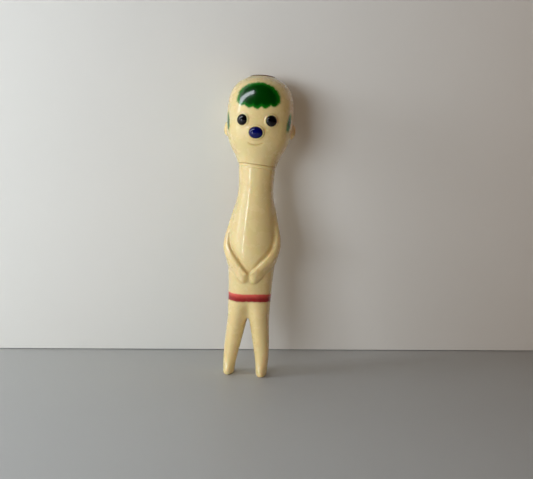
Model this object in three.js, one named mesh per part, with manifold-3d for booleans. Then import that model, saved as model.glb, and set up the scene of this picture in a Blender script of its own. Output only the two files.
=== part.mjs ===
// A hollow soft vinyl figure, 280 mm tall, with a head that turns on its neck.
// Millimetres, +Z up. The figure faces -Y, its left side is +X, and it stands on the plane Z = 0.
// Body and head are thin slush-moulded shells. A flanged spool joins them at the neck, the eyes and the nose
// are snap-in beads held by washers inside the head, and a domed plug closes the crown.
import * as THREE from "three";
import { mergeVertices } from "three/addons/utils/BufferGeometryUtils.js";
import Module from "manifold-3d";

const wasm = await Module();
wasm.setup();

// Driving sizes of the whole figure
const legLength = 56;
const torsoLength = 142;
const headLength = 82;
const wall = 2.2;
const seatGap = 0.3;

// Torso, half widths across and half depths front to back
const neckTopRadius = 17.4;
const neckRadius = 16.2;
const shoulderHalfWidth = 20.1;
const shoulderHalfDepth = 18.2;
const bellyHalfWidth = 22.8;
const bellyHalfDepth = 20.4;
const hipHalfWidth = 20.8;
const hipHalfDepth = 18.2;
const hipRise = 24;

// Legs and feet
const thighHalfWidth = 10.5;
const thighHalfDepth = 15.4;
const kneeHalfWidth = 8;
const kneeHalfDepth = 9.2;
const ankleHalfWidth = 6.1;
const ankleHalfDepth = 7.8;
const footHalfWidth = 5.4;
const footHalfLength = 11.6;
const footForward = 1.6;
const soleRounding = 0.9;
const stance = 15.6;
const crotchTurn = 144;

// Arms, moulded in relief and wrapped round the torso to the joined hands
const armHalfWidth = 7;
const armHalfThickness = 5.2;
const wristHalfWidth = 4.9;
const handHalfWidth = 5.6;
const armRelief = 4.5;
const armHem = 0.45;
const armHemFlatness = 0.62;
const handRelief = 3.6;
const handShare = 0.29;
const thumbLength = 8.9;
const thumbRadius = 1.7;

// Head, with heights above the neck seam
const rimStep = 0.7;
const jawHalfWidth = 25.6;
const jawHalfDepth = 25;
const cheekHalfWidth = 30.6;
const cheekHalfDepth = 28.3;
const skullHalfWidth = 30.8;
const skullHalfDepth = 30.2;
const earHeight = 32.5;
const earLength = 15;
const earWidth = 9.3;
const earReach = 3.4;
const earTilt = 8;

// Face, with heights above the neck seam
const eyeRadius = 5;
const eyeDome = 3.6;
const eyeHeight = 38.5;
const eyeSpacing = 26;
const noseHalfWidth = 6.3;
const noseHalfHeight = 5.3;
const noseDome = 4.1;
const noseHeight = 27.5;
const mouthHeight = 16.5;
const mouthHalfWidth = 7;
const mouthCurve = 2.4;
const mouthGroove = 0.9;

// Sockets, stems and washers of the beads
const socketDepth = 0.5;
const padMargin = 1.2;
const stemRadius = 1.6;
const barbReach = 0.5;
const barbLength = 1.6;
const washerRadius = 3.9;
const washerThickness = 1;

// Crown plug
const plugRadius = 11.8;
const plugRise = 1.9;
const plugEdge = 0.6;
const plugSkirtRadius = 8.6;
const plugSkirtWall = 1.1;
const plugSkirtLength = 5;
const crownMargin = 0.8;

// Neck joint, on an axis that leans to the figure's left
const seamSlant = 4;
const seamGap = 0.6;
const rimWidth = 2.8;
const rimGroove = 0.6;
const spoolBore = 7.5;
const spoolWall = 2.4;
const flangeReach = 2.6;
const flangeThickness = 1.8;

// Numbers of faces round and along the forms
const trunkSides = 16;
const crotchSides = 4;
const armSides = 12;
const armRings = 22;
const headSides = 40;
const stepsPerSpan = 2;
const innerCoarseness = 2;

const { degToRad, lerp, clamp, smoothstep } = THREE.MathUtils;
const seamHeight = legLength + torsoLength;
const crownSeat = headLength - plugRise;
const shelfEnd = seamGap / 2 + wall;
const neckHole = spoolBore + spoolWall + seatGap;
const farReach = torsoLength + headLength;
const mirrored = new THREE.Matrix4().makeScale(-1, 1, 1);

// A smooth curve through four neighbouring values, at share t of the middle span.
function between(before, start, end, after, t) {
  const slopeIn = (end - before) / 2;
  const slopeOut = (after - start) / 2;
  const bend = 2 * start - 2 * end + slopeIn + slopeOut;
  const lift = -3 * start + 3 * end - 2 * slopeIn - slopeOut;
  return bend * t ** 3 + lift * t ** 2 + slopeIn * t + start;
}

// One value of a list of stations, at a place counted in spans from the first.
function valueAt(stations, key, place) {
  const last = stations.length - 1;
  const i = Math.min(Math.floor(place), last - 1);
  const near = (n) => stations[clamp(n, 0, last)][key] ?? 0;
  return between(near(i - 1), near(i), near(i + 1), near(i + 2), place - i);
}

// A point of a level oval section, grown or shrunk, at a turn counted from +X towards the back.
function onOval(section, grow, degrees) {
  const turn = degToRad(degrees);
  const x = section.x + (section.wide + grow) * Math.cos(turn);
  return new THREE.Vector2(x, section.y + (section.deep + grow) * Math.sin(turn));
}

// A moulded form with level, oval sections. Each station gives a height, the half width and half depth
// there, and where the oval's centre lies.
class Loft {
  constructor(stations) {
    this.stations = stations;
    this.spans = stations.length - 1;
  }

  section(place) {
    const value = (key) => valueAt(this.stations, key, place);
    return { z: value("z"), wide: value("wide"), deep: value("deep"), x: value("x"), y: value("y") };
  }

  placeOf(height) {
    const rising = this.stations[this.spans].z > this.stations[0].z;
    let low = 0;
    let high = this.spans;
    for (let halving = 0; halving < 40; halving++) {
      const middle = (low + high) / 2;
      if (this.section(middle).z < height === rising) low = middle;
      else high = middle;
    }
    return (low + high) / 2;
  }

  at(height) {
    return this.section(this.placeOf(height));
  }

  // A point of the front skin at a distance from the middle plane and a height.
  front(x, height) {
    const s = this.at(height);
    const share = clamp((x - s.x) / s.wide, -1, 1);
    return new THREE.Vector3(x, s.y - s.deep * Math.sqrt(1 - share * share), height);
  }

  // Heights of the sections between two heights, closer where the form turns faster.
  heights(from, to, coarseness = 1) {
    const first = this.placeOf(from);
    const last = this.placeOf(to);
    const count = Math.round((Math.abs(last - first) * stepsPerSpan) / coarseness);
    return Array.from({ length: count + 1 }, (_, i) => this.section(lerp(first, last, i / count)).z);
  }

  // The closed skin from the first station up to a height, grown or shrunk.
  skin(top, sides, grow = 0, coarseness = 1) {
    const points = this.heights(this.stations[0].z, top, coarseness).flatMap((z) => {
      const section = this.at(z);
      return Array.from({ length: sides }, (_, k) => {
        const point = onOval(section, grow, (360 * k) / sides);
        return new THREE.Vector3(point.x, point.y, z);
      });
    });
    return closedTube(points, sides);
  }
}

// A closed body from rings of points, with a fan over each end.
function closedTube(points, sides) {
  const rings = points.length / sides;
  const lastRing = (rings - 1) * sides;
  const middleOf = (start) => {
    const ring = points.slice(start, start + sides);
    return ring.reduce((sum, point) => sum.add(point), new THREE.Vector3()).divideScalar(sides);
  };
  const corners = [...points, middleOf(0), middleOf(lastRing)];
  const faces = [];
  for (let k = 0; k < sides; k++) {
    const next = (k + 1) % sides;
    faces.push(points.length, next, k, points.length + 1, lastRing + k, lastRing + next);
    for (let ring = 0; ring < lastRing; ring += sides) {
      const above = ring + sides;
      faces.push(ring + k, ring + next, above + next, ring + k, above + next, above + k);
    }
  }
  return new THREE.BufferGeometry().setFromPoints(corners).setIndex(faces);
}

// A three.js geometry as a solid that can be joined and cut, placed by a matrix.
function solid(geometry, matrix = new THREE.Matrix4()) {
  const placed = geometry.clone().applyMatrix4(matrix);
  placed.deleteAttribute("normal");
  placed.deleteAttribute("uv");
  const merged = mergeVertices(placed, 1e-4);
  const index = merged.index.array;
  const faces = [];
  for (let i = 0; i < index.length; i += 3) {
    const [a, b, c] = index.slice(i, i + 3);
    if (a !== b && b !== c && c !== a) faces.push(a, b, c);
  }
  const vertProperties = merged.attributes.position.array;
  const bodyOf = (order) =>
    new wasm.Manifold(new wasm.Mesh({ numProp: 3, vertProperties, triVerts: new Uint32Array(order) }));
  const body = bodyOf(faces);
  return body.volume() > 0 ? body : bodyOf(faces.reverse());
}

const joined = (solids) => solids.reduce((all, one) => all.add(one));
const pairOf = (geometry) => [solid(geometry), solid(geometry, mirrored)];

// A named mesh from a solid, in its own material.
function piece(name, body, color, roughness) {
  const mesh = body.getMesh();
  const positions = new THREE.BufferAttribute(new Float32Array(mesh.vertProperties), mesh.numProp);
  const geometry = new THREE.BufferGeometry().setAttribute("position", positions);
  geometry.setIndex(new THREE.BufferAttribute(new Uint32Array(mesh.triVerts), 1));
  geometry.computeVertexNormals();
  const made = new THREE.Mesh(geometry, new THREE.MeshStandardMaterial({ color, roughness, metalness: 0 }));
  made.name = name;
  return made;
}

// A turned form about +Z from [radius, height] pairs that start and end on the axis or close on themselves.
function turned(profile, segments) {
  const points = profile.map(([radius, height]) => new THREE.Vector2(radius, height));
  return new THREE.LatheGeometry(points, segments).rotateX(Math.PI / 2);
}

// A round bar or hole along +Z between two heights.
function rod(radius, from, to, segments = 32) {
  return turned([[0, from], [radius, from], [radius, to], [0, to]], segments);
}

// The rim and top of a low dome: a short upright edge, then a quarter of an ellipse up to the axis.
function domeProfile(radius, underside, edge, rise, steps = 6) {
  const top = Array.from({ length: steps }, (_, i) => {
    const turn = (Math.PI / 2) * (i / steps);
    return [radius * Math.cos(turn), underside + edge + rise * Math.sin(turn)];
  });
  return [[radius, underside], ...top, [0, underside + edge + rise]];
}

// Torso, from the neck rim down to the crotch
const torsoAt = (share) => legLength + share * torsoLength;
const torso = new Loft([
  { z: torsoAt(1.04), wide: neckTopRadius, deep: neckTopRadius },
  { z: torsoAt(0.99), wide: neckTopRadius, deep: neckTopRadius },
  { z: torsoAt(0.92), wide: neckRadius + 0.5, deep: neckRadius + 0.5 },
  { z: torsoAt(0.85), wide: neckRadius, deep: neckRadius },
  { z: torsoAt(0.76), wide: neckRadius + 1.3, deep: neckRadius + 0.7 },
  { z: torsoAt(0.65), wide: shoulderHalfWidth, deep: shoulderHalfDepth, y: 0.4 },
  { z: torsoAt(0.55), wide: bellyHalfWidth - 0.9, deep: bellyHalfDepth - 0.9 },
  { z: torsoAt(0.44), wide: bellyHalfWidth, deep: bellyHalfDepth, y: -0.7 },
  { z: torsoAt(0.33), wide: (bellyHalfWidth + hipHalfWidth) / 2, deep: bellyHalfDepth - 0.9, y: -0.4 },
  { z: torsoAt(0.23), wide: hipHalfWidth, deep: hipHalfDepth, y: 0.3 },
  { z: torsoAt(0.13), wide: hipHalfWidth - 0.5, deep: hipHalfDepth - 0.9, y: 0.8 },
  { z: torsoAt(0.05), wide: hipHalfWidth - 1.1, deep: hipHalfDepth - 2.6, y: 0.8 },
  { z: torsoAt(0), wide: hipHalfWidth - 1.3, deep: hipHalfDepth - 4, y: 0.8 },
]);

// Leg on the +X side, from inside the hips down to the flat sole
const shin = { wide: (kneeHalfWidth + ankleHalfWidth) / 2, deep: ankleHalfDepth + 0.3 };
const leg = new Loft([
  { z: legLength + hipRise, wide: thighHalfWidth, deep: thighHalfDepth, x: stance - 5.7, y: 0.8 },
  { z: legLength * 1.25, wide: thighHalfWidth, deep: thighHalfDepth, x: stance - 5.6, y: 0.9 },
  { z: legLength, wide: thighHalfWidth - 0.9, deep: thighHalfDepth - 2.4, x: stance - 5.5, y: 0.8 },
  { z: legLength * 0.8, wide: thighHalfWidth - 1.6, deep: thighHalfDepth - 4.6, x: stance - 4.2, y: 0.4 },
  { z: legLength * 0.58, wide: kneeHalfWidth, deep: kneeHalfDepth, x: stance - 2.5, y: 0.2 },
  { z: legLength * 0.38, wide: shin.wide, deep: shin.deep, x: stance - 1.1 },
  { z: legLength * 0.22, wide: ankleHalfWidth, deep: ankleHalfDepth, x: stance - 0.3, y: -footForward * 0.4 },
  { z: legLength * 0.11, wide: footHalfWidth, deep: footHalfLength - 1, x: stance - 0.1, y: -footForward },
  { z: legLength * 0.045, wide: footHalfWidth, deep: footHalfLength, x: stance, y: -footForward },
  { z: 0, wide: footHalfWidth - soleRounding, deep: footHalfLength - soleRounding, x: stance, y: -footForward },
]);

// One section of the +X half of the body. Above the crotch it is half an oval, closed along the middle plane.
// Down the hips it draws in to the leg's own oval, so that the legs part below the crotch.
function halfRing(height, grow, crotch, outerSides, innerSides) {
  const trunk = torso.at(Math.max(height, legLength));
  const lobe = leg.at(height);
  const parted = height < crotch - 1e-3;
  const draw = smoothstep(-height, -legLength - hipRise, -crotch);
  const ring = Array.from({ length: outerSides + 1 }, (_, k) => {
    const share = k / outerSides;
    return onOval(trunk, grow, 90 - 180 * share).lerp(onOval(lobe, grow, crotchTurn * (1 - 2 * share)), draw);
  });
  const back = ring[0];
  const front = ring[outerSides];
  if (!parted) {
    back.x = 0;
    front.x = 0;
  }
  for (let k = 1; k < innerSides; k++) {
    const share = k / innerSides;
    const inside = lerp(-crotchTurn, crotchTurn - 360, share);
    ring.push(parted ? onOval(lobe, grow, inside) : front.clone().lerp(back, share));
  }
  return ring.map((point) => new THREE.Vector3(Math.max(point.x, 0), point.y, height));
}

// The torso and both legs as one skin, grown or shrunk, down to a bottom height.
function trunkSkin(grow, bottom, outerSides, innerSides, coarseness) {
  const crotch = legLength - grow;
  const torsoHeights = torso.heights(torso.stations[0].z, crotch, coarseness);
  const legHeights = leg.heights(crotch, bottom, coarseness).slice(1);
  const rings = [...torsoHeights, ...legHeights].flatMap((z) => halfRing(z, grow, crotch, outerSides, innerSides));
  return joined(pairOf(closedTube(rings, outerSides + innerSides)));
}

// A point raised off the torso's skin, and the skin's outward normal there. The turn runs from the side to
// the front.
function overTorso(share, turn, raise) {
  const section = torso.at(torsoAt(share));
  const point = onOval(section, 0, -turn);
  const spread = new THREE.Vector3((point.x - section.x) / section.wide ** 2, (point.y - section.y) / section.deep ** 2);
  const outward = spread.normalize();
  return { at: new THREE.Vector3(point.x, point.y, section.z).addScaledVector(outward, raise), outward };
}

// Stations of the +X arm: a share of the torso's length, a turn towards the front, the half width and half
// thickness of the flattened arm, and how far it stands out of the torso.
const armStations = [
  { share: 0.795, turn: -9, wide: armHalfWidth - 3.4, thick: armHalfThickness - 2, relief: armRelief - 6.1 },
  { share: 0.75, turn: -8, wide: armHalfWidth - 1.4, thick: armHalfThickness - 0.6, relief: armRelief - 3.8 },
  { share: 0.68, turn: -6, wide: armHalfWidth - 0.4, thick: armHalfThickness, relief: armRelief - 2.6 },
  { share: 0.6, turn: -2, wide: armHalfWidth, thick: armHalfThickness, relief: armRelief - 1.6 },
  { share: 0.515, turn: 5, wide: armHalfWidth + 0.2, thick: armHalfThickness, relief: armRelief },
  { share: 0.445, turn: 17, wide: armHalfWidth + 0.2, thick: armHalfThickness, relief: armRelief + 0.5 },
  { share: 0.39, turn: 36, wide: armHalfWidth - 0.3, thick: armHalfThickness, relief: armRelief - 0.3 },
  { share: 0.355, turn: 52, wide: wristHalfWidth + 0.9, thick: armHalfThickness - 0.4, relief: handRelief },
  { share: handShare + 0.035, turn: 64, wide: wristHalfWidth, thick: armHalfThickness - 0.6, relief: handRelief - 0.2 },
  { share: handShare, turn: 73, wide: handHalfWidth, thick: armHalfThickness - 0.6, relief: handRelief },
  { share: handShare - 0.032, turn: 76, wide: handHalfWidth - 1, thick: armHalfThickness - 1, relief: handRelief - 0.5 },
  { share: handShare - 0.053, turn: 77, wide: handHalfWidth - 3, thick: armHalfThickness - 2.2, relief: handRelief - 2.2 },
];

// The +X arm, shrunk by an inset. Its lower side is a wide, flat hem that runs out into the torso.
function armSkin(inset, sides, rings) {
  const spine = armStations.map(({ share, turn, relief, thick }) => overTorso(share, turn, relief - thick));
  const line = new THREE.CatmullRomCurve3(spine.map((point) => point.at));
  const last = armStations.length - 1;
  const points = [];
  for (let ring = 0; ring <= rings; ring++) {
    const place = (ring / rings) * last;
    const i = Math.min(Math.floor(place), last - 1);
    const along = line.getTangent(ring / rings);
    const outward = spine[i].outward.clone().lerp(spine[i + 1].outward, place - i);
    const across = outward.cross(along).normalize();
    const out = along.clone().cross(across);
    const halfWidth = valueAt(armStations, "wide", place) - inset;
    const halfThickness = valueAt(armStations, "thick", place) - inset;
    const hem = Math.min(1, 4 * (1 - ring / rings));
    for (let k = 0; k < sides; k++) {
      const turn = (2 * Math.PI * k) / sides;
      const lower = hem * Math.max(Math.cos(turn), 0);
      const reach = halfWidth * (1 + armHem * lower);
      const lift = halfThickness * (1 - armHemFlatness * lower);
      const point = line.getPoint(ring / rings).addScaledVector(across, reach * Math.cos(turn));
      points.push(point.addScaledVector(out, lift * Math.sin(turn)));
    }
  }
  return closedTube(points, sides);
}

// The +X thumb, a rounded bar that lies along the upper edge of the hand.
function thumb() {
  const root = overTorso(handShare + 0.032, 72, handRelief - thumbRadius * 0.7).at;
  const tip = overTorso(handShare + 0.006, 83, handRelief - thumbRadius * 0.9).at;
  const middle = root.clone().lerp(tip, 0.5);
  const turn = new THREE.Quaternion().setFromUnitVectors(new THREE.Vector3(0, 1, 0), tip.sub(root).normalize());
  const bar = new THREE.CapsuleGeometry(thumbRadius, thumbLength - 2 * thumbRadius, 4, 10);
  return bar.applyQuaternion(turn).translate(middle.x, middle.y, middle.z);
}

// The seam's own frame has its origin on the neck's centre line and its +Z along the joint's axis.
const seamTurn = new THREE.Matrix4().makeRotationY(degToRad(seamSlant));
const seamFrame = new THREE.Matrix4().makeTranslation(0, 0, seamHeight).multiply(seamTurn);
const neckOpening = rod(neckHole, -shelfEnd - 1, shelfEnd + 1, 40);

// A slab square to the joint's axis between two distances from the seam.
function slab(from, to) {
  return new THREE.BoxGeometry(farReach, farReach, to - from).translate(0, 0, (from + to) / 2);
}

// The body: an outer skin with arms and thumbs, hollowed down to the soles, with a shelf inside the neck
// that the spool's lower flange sits under.
function bodyShell() {
  const outer = joined([trunkSkin(0, 0, trunkSides, crotchSides, 1), ...pairOf(armSkin(0, armSides, armRings)), ...pairOf(thumb())]);
  const trunkHollow = trunkSkin(-wall, wall, trunkSides * 0.75, crotchSides - 1, innerCoarseness);
  const armHollows = pairOf(armSkin(wall, armSides / 2 + 1, armRings / 2));
  const hollow = joined([trunkHollow, ...armHollows]).subtract(solid(slab(-shelfEnd, farReach), seamFrame));
  const outerRadius = neckTopRadius + rimGroove;
  const groove = [[neckTopRadius - rimGroove, -rimWidth], [outerRadius, -rimWidth - 2 * rimGroove], [outerRadius, -rimWidth + 2 * rimGroove]];
  return outer
    .subtract(hollow)
    .subtract(solid(slab(-seamGap / 2, farReach), seamFrame))
    .subtract(solid(turned([...groove, groove[0]], 64), seamFrame))
    .subtract(solid(neckOpening, seamFrame));
}

// Head, from below the neck seam up past the crown's seat
const rimRadius = neckTopRadius + rimStep;
const crownRadius = plugRadius + crownMargin;
const head = new Loft([
  { z: headLength * -0.06, wide: rimRadius - 0.3, deep: rimRadius - 0.3 },
  { z: headLength * 0.01, wide: rimRadius, deep: rimRadius },
  { z: headLength * 0.1, wide: (rimRadius + jawHalfWidth) / 2 - 0.7, deep: (rimRadius + jawHalfDepth) / 2 - 0.6 },
  { z: headLength * 0.195, wide: jawHalfWidth, deep: jawHalfDepth, y: -0.2 },
  { z: headLength * 0.31, wide: (jawHalfWidth + cheekHalfWidth) / 2 + 1.2, deep: cheekHalfDepth, y: 0.2 },
  { z: headLength * 0.44, wide: cheekHalfWidth, deep: skullHalfDepth - 0.9, y: 0.8 },
  { z: headLength * 0.59, wide: skullHalfWidth, deep: skullHalfDepth, y: 1.2 },
  { z: headLength * 0.73, wide: skullHalfWidth - 0.9, deep: skullHalfDepth - 0.5, y: 1.4 },
  { z: headLength * 0.845, wide: skullHalfWidth - 4.2, deep: skullHalfDepth - 3.8, y: 1.4 },
  { z: headLength * 0.925, wide: skullHalfWidth - 10, deep: skullHalfDepth - 9.4, y: 1.3 },
  { z: crownSeat, wide: crownRadius, deep: crownRadius, y: 1.2 },
  { z: headLength, wide: crownRadius / 2, deep: crownRadius / 2, y: 1.2 },
]);
const crownY = head.at(crownSeat).y;

// A place on the face: its origin on the head's skin and its +Z along the skin's outward normal.
function onFace(x, height) {
  const step = 0.5;
  const side = head.front(x + step, height).sub(head.front(x - step, height)).normalize();
  const up = head.front(x, height + step).sub(head.front(x, height - step));
  const outward = side.clone().cross(up).normalize();
  const place = new THREE.Group();
  const basis = new THREE.Matrix4().makeBasis(side, outward.clone().cross(side), outward);
  place.quaternion.setFromRotationMatrix(basis);
  place.position.copy(head.front(x, height));
  place.updateMatrix();
  return place;
}

const leftEyePlace = onFace(eyeSpacing / 2, eyeHeight);
const rightEyePlace = onFace(-eyeSpacing / 2, eyeHeight);
const nosePlace = onFace(0, noseHeight);

// Depths below the face's skin: the bead's flat back, the inner pad and the washer that bears on it.
const beadBack = seatGap - socketDepth;
const padDepth = wall + socketDepth;
const washerFront = -padDepth - seatGap;
const barbTop = washerFront - washerThickness - seatGap;

// A snap-in bead: an oval dome on a flat back, and a barbed stem that runs through the wall.
function bead(halfWidth, halfHeight, rise) {
  const dome = turned([[0, beadBack], ...domeProfile(halfWidth, beadBack, socketDepth, rise - socketDepth)], 22);
  const tip = barbTop - barbLength;
  const barb = [[0, tip], [stemRadius - barbReach, tip], [stemRadius + barbReach, barbTop], [stemRadius, barbTop]];
  const stem = turned([...barb, [stemRadius, 0], [0, 0]], 14);
  return solid(dome.scale(1, halfHeight / halfWidth, 1)).add(solid(stem));
}

// The washer pushed on to a stem inside the head.
function washer() {
  const hole = stemRadius + seatGap / 2;
  const back = washerFront - washerThickness;
  return solid(
    turned([[hole, back], [washerRadius, back], [washerRadius, washerFront], [hole, washerFront], [hole, back]], 18),
  );
}

// What the head gains and loses round one bead: a flat pad inside, a flat seat outside and the stem's hole.
function socket(place, halfWidth, halfHeight) {
  const pad = solid(rod(washerRadius + padMargin, -padDepth, 0, 24), place.matrix);
  const ratio = (halfHeight + seatGap) / (halfWidth + seatGap);
  const seat = rod(halfWidth + seatGap, -socketDepth, noseDome, 26).scale(1, ratio, 1);
  const hole = rod(stemRadius + seatGap, -padDepth - wall, noseDome, 16);
  return { pad, cut: solid(seat, place.matrix).add(solid(hole, place.matrix)) };
}

// One ear: a flattened shell with a dished middle, on the +X or -X side.
function ear(side) {
  const section = head.at(earHeight);
  const sunk = earReach * 0.4;
  const shell = new THREE.SphereGeometry(1, 18, 12)
    .scale(earReach + sunk, earWidth / 2, earLength / 2)
    .rotateX(degToRad(-earTilt))
    .translate(side * (section.wide - sunk), section.y + 1, earHeight);
  const dish = new THREE.SphereGeometry(1, 14, 10)
    .scale(earReach * 0.55, earWidth * 0.27, earLength * 0.3)
    .rotateX(degToRad(-earTilt))
    .translate(side * (section.wide + earReach * 0.86), section.y - 0.6, earHeight + 0.4);
  return { shell: solid(shell), dish: solid(dish) };
}

// The smiling mouth line, a round groove cut along the skin.
function mouth() {
  const points = Array.from({ length: 13 }, (_, i) => {
    const share = i / 6 - 1;
    return head.front(mouthHalfWidth * share, mouthHeight + mouthCurve * share ** 2);
  });
  const section = new THREE.Shape().absarc(0, 0, mouthGroove, 0, 2 * Math.PI);
  const extrudePath = new THREE.CatmullRomCurve3(points);
  return solid(new THREE.ExtrudeGeometry(section, { extrudePath, steps: 16, curveSegments: 4 }));
}

// The head: a hollow skin with ears, bead sockets, a mouth line, a flat seat for the crown plug and a shelf
// that the spool's upper flange rests on.
function headShell() {
  const ears = [ear(1), ear(-1)];
  const sockets = [socket(leftEyePlace, eyeRadius, eyeRadius), socket(rightEyePlace, eyeRadius, eyeRadius)];
  sockets.push(socket(nosePlace, noseHalfWidth, noseHalfHeight));
  const innerSkin = head.skin(crownSeat - wall, Math.round(headSides / 1.5), -wall, innerCoarseness);
  const hollow = solid(innerSkin).subtract(solid(slab(-farReach, shelfEnd), seamTurn));
  const plugHole = rod(plugSkirtRadius + seatGap, crownSeat - 2 * wall, crownSeat + 1).translate(0, crownY, 0);
  const aboveCrown = slab(crownSeat, crownSeat + headLength);
  return joined([solid(head.skin(headLength, headSides)), ...ears.map((one) => one.shell)])
    .subtract(hollow.subtract(joined(sockets.map((one) => one.pad))))
    .subtract(joined(sockets.map((one) => one.cut)))
    .subtract(joined(ears.map((one) => one.dish)))
    .subtract(mouth())
    .subtract(solid(aboveCrown))
    .subtract(solid(plugHole))
    .subtract(solid(slab(-farReach, seamGap / 2), seamTurn))
    .subtract(solid(neckOpening, seamTurn));
}

// The spool that holds both necks together: a hollow barrel with a flange at each end.
function neckSpool() {
  const barrel = spoolBore + spoolWall;
  const flange = neckHole + flangeReach;
  const near = shelfEnd + seatGap;
  const far = near + flangeThickness;
  const lower = [[spoolBore, -far], [flange, -far], [flange, -near], [barrel, -near]];
  const upper = [[barrel, near], [flange, near], [flange, far], [spoolBore, far]];
  return solid(turned([...lower, ...upper, lower[0]], 40));
}

// The crown plug: a low dome with a hollow skirt that grips the hole. Its underside is at Z = 0.
function crownPlug() {
  const inside = plugSkirtRadius - plugSkirtWall;
  const skirt = [[0, 0], [inside, 0], [inside, -plugSkirtLength], [plugSkirtRadius, -plugSkirtLength], [plugSkirtRadius, 0]];
  const dome = domeProfile(plugRadius, 0, plugEdge, plugRise - seatGap - plugEdge);
  return solid(turned([...skirt, ...dome], 36));
}

// The body stands on the ground, and the spool is fixed in its neck.
const bodyGroup = new THREE.Group();
const spool = piece("neck_spool", neckSpool(), 0xd8cfa8, 0.5);
spool.position.z = seamHeight;
spool.rotation.y = degToRad(seamSlant);
bodyGroup.add(piece("body_shell", bodyShell(), 0xe9dfb6, 0.28), spool);

// The head and all that it carries are placed from the neck seam.
const headGroup = new THREE.Group();
headGroup.position.z = seamHeight;
const plug = piece("crown_plug", crownPlug(), 0x4a3020, 0.35);
plug.position.set(0, crownY, crownSeat + seatGap);
headGroup.add(piece("head_shell", headShell(), 0xe9dfb6, 0.28), plug, leftEyePlace, rightEyePlace, nosePlace);

leftEyePlace.add(piece("left_eye", bead(eyeRadius, eyeRadius, eyeDome), 0x0b0a0f, 0.12));
leftEyePlace.add(piece("left_eye_washer", washer(), 0xe8e8e2, 0.4));
rightEyePlace.add(piece("right_eye", bead(eyeRadius, eyeRadius, eyeDome), 0x0b0a0f, 0.12));
rightEyePlace.add(piece("right_eye_washer", washer(), 0xe8e8e2, 0.4));
nosePlace.add(piece("nose_button", bead(noseHalfWidth, noseHalfHeight, noseDome), 0x0a1045, 0.15));
nosePlace.add(piece("nose_washer", washer(), 0xe8e8e2, 0.4));

const figure = new THREE.Group();
figure.add(bodyGroup, headGroup);

export default figure;
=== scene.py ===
"""A hollow soft vinyl figure with a turning head, dressed and set up for its portrait.

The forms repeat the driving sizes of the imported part. Lengths are metres in the part's own frame: +Z is
up, the face looks along -Y and the figure's left side is +X.
"""

import logging
import math
from collections.abc import Callable, Sequence
from dataclasses import dataclass, field
from enum import Enum
from types import TracebackType

import bmesh
import bpy
import numpy as np
from mathutils import Matrix, Quaternion, Vector


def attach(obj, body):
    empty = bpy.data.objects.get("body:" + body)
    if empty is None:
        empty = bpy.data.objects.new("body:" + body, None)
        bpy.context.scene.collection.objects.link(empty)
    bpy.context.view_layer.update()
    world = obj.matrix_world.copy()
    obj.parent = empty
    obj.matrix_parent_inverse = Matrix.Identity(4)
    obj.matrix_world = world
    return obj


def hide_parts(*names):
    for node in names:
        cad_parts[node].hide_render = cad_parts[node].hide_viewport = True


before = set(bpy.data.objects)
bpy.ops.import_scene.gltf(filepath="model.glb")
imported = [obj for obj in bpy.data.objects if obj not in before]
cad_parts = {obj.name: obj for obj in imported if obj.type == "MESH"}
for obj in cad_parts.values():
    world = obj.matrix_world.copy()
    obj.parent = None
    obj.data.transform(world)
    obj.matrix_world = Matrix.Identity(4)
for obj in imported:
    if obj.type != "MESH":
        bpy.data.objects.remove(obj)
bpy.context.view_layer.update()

log = logging.getLogger("vinyl_figure")

Color = tuple[float, float, float, float]
Socket = bpy.types.NodeSocket
Value = float | Socket
Move = Callable[[Vector], Vector]
RingMove = Callable[[float, float], tuple[float, float]]
Profile = Sequence[tuple[float, float]]

MILLIMETRES_IN_METRE = 1000.0
# Corners as near as this to a plane lie on it
TOUCHING = 1e-7
CAGE_LEVELS = 2
CAGE_STEPS = 2
DOME_TIP = 0.01
UP = Vector((0, 0, 1))


def mm(length: float) -> float:
    """Turns millimetres into metres."""
    return length / MILLIMETRES_IN_METRE


def srgb(red: int, green: int, blue: int) -> Color:
    """Turns a colour as a screen shows it, 0 to 255, into a linear one.

    Args:
        red: The red part.
        green: The green part.
        blue: The blue part.

    Returns:
        The linear colour with full alpha.
    """
    def linear(part: int) -> float:
        """Straightens one part of the colour."""
        share = part / 255
        return share / 12.92 if share <= 0.04045 else ((share + 0.055) / 1.055) ** 2.4

    return (linear(red), linear(green), linear(blue), 1.0)


def blend(start: float, end: float, share: float) -> float:
    """Gives the value at a share of the way from start to end."""
    return start + (end - start) * share


def clamp(value: float, low: float, high: float) -> float:
    """Holds a value between two limits."""
    return min(max(value, low), high)


class Side(Enum):
    """The figure's own two sides, as the sign of X."""

    LEFT = 1
    RIGHT = -1


class Carrier(Enum):
    """The two moving bodies of the figure."""

    BODY = "body"
    HEAD = "head"


# Smooth forms between stations


@dataclass(frozen=True)
class Station:
    """A level oval section of a form: its height, half width, half depth and centre."""

    z: float
    wide: float
    deep: float
    x: float = 0.0
    y: float = 0.0

    def point(self, grow: float, degrees: float) -> Vector:
        """Gives a point of the oval.

        Args:
            grow: How far the oval is grown, or shrunk where it is negative.
            degrees: The turn from +X towards the back.

        Returns:
            The point at the section's height.
        """
        turn = math.radians(degrees)
        x = self.x + (self.wide + grow) * math.cos(turn)
        return Vector((x, self.y + (self.deep + grow) * math.sin(turn), self.z))

    def lining(self, wall: float, rise: float = 0.0) -> Move:
        """Makes a move that puts a point on the inside of a wall that runs along the oval.

        Args:
            wall: The wall's thickness.
            rise: How far the oval's own floor stands above the figure's.

        Returns:
            The move, which keeps each point's turn about the oval's centre.
        """
        def move(point: Vector) -> Vector:
            """Moves one point."""
            turn = math.degrees(math.atan2(point.y - self.y, point.x - self.x))
            return self.point(-wall, turn) + UP * rise

        return move


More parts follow.
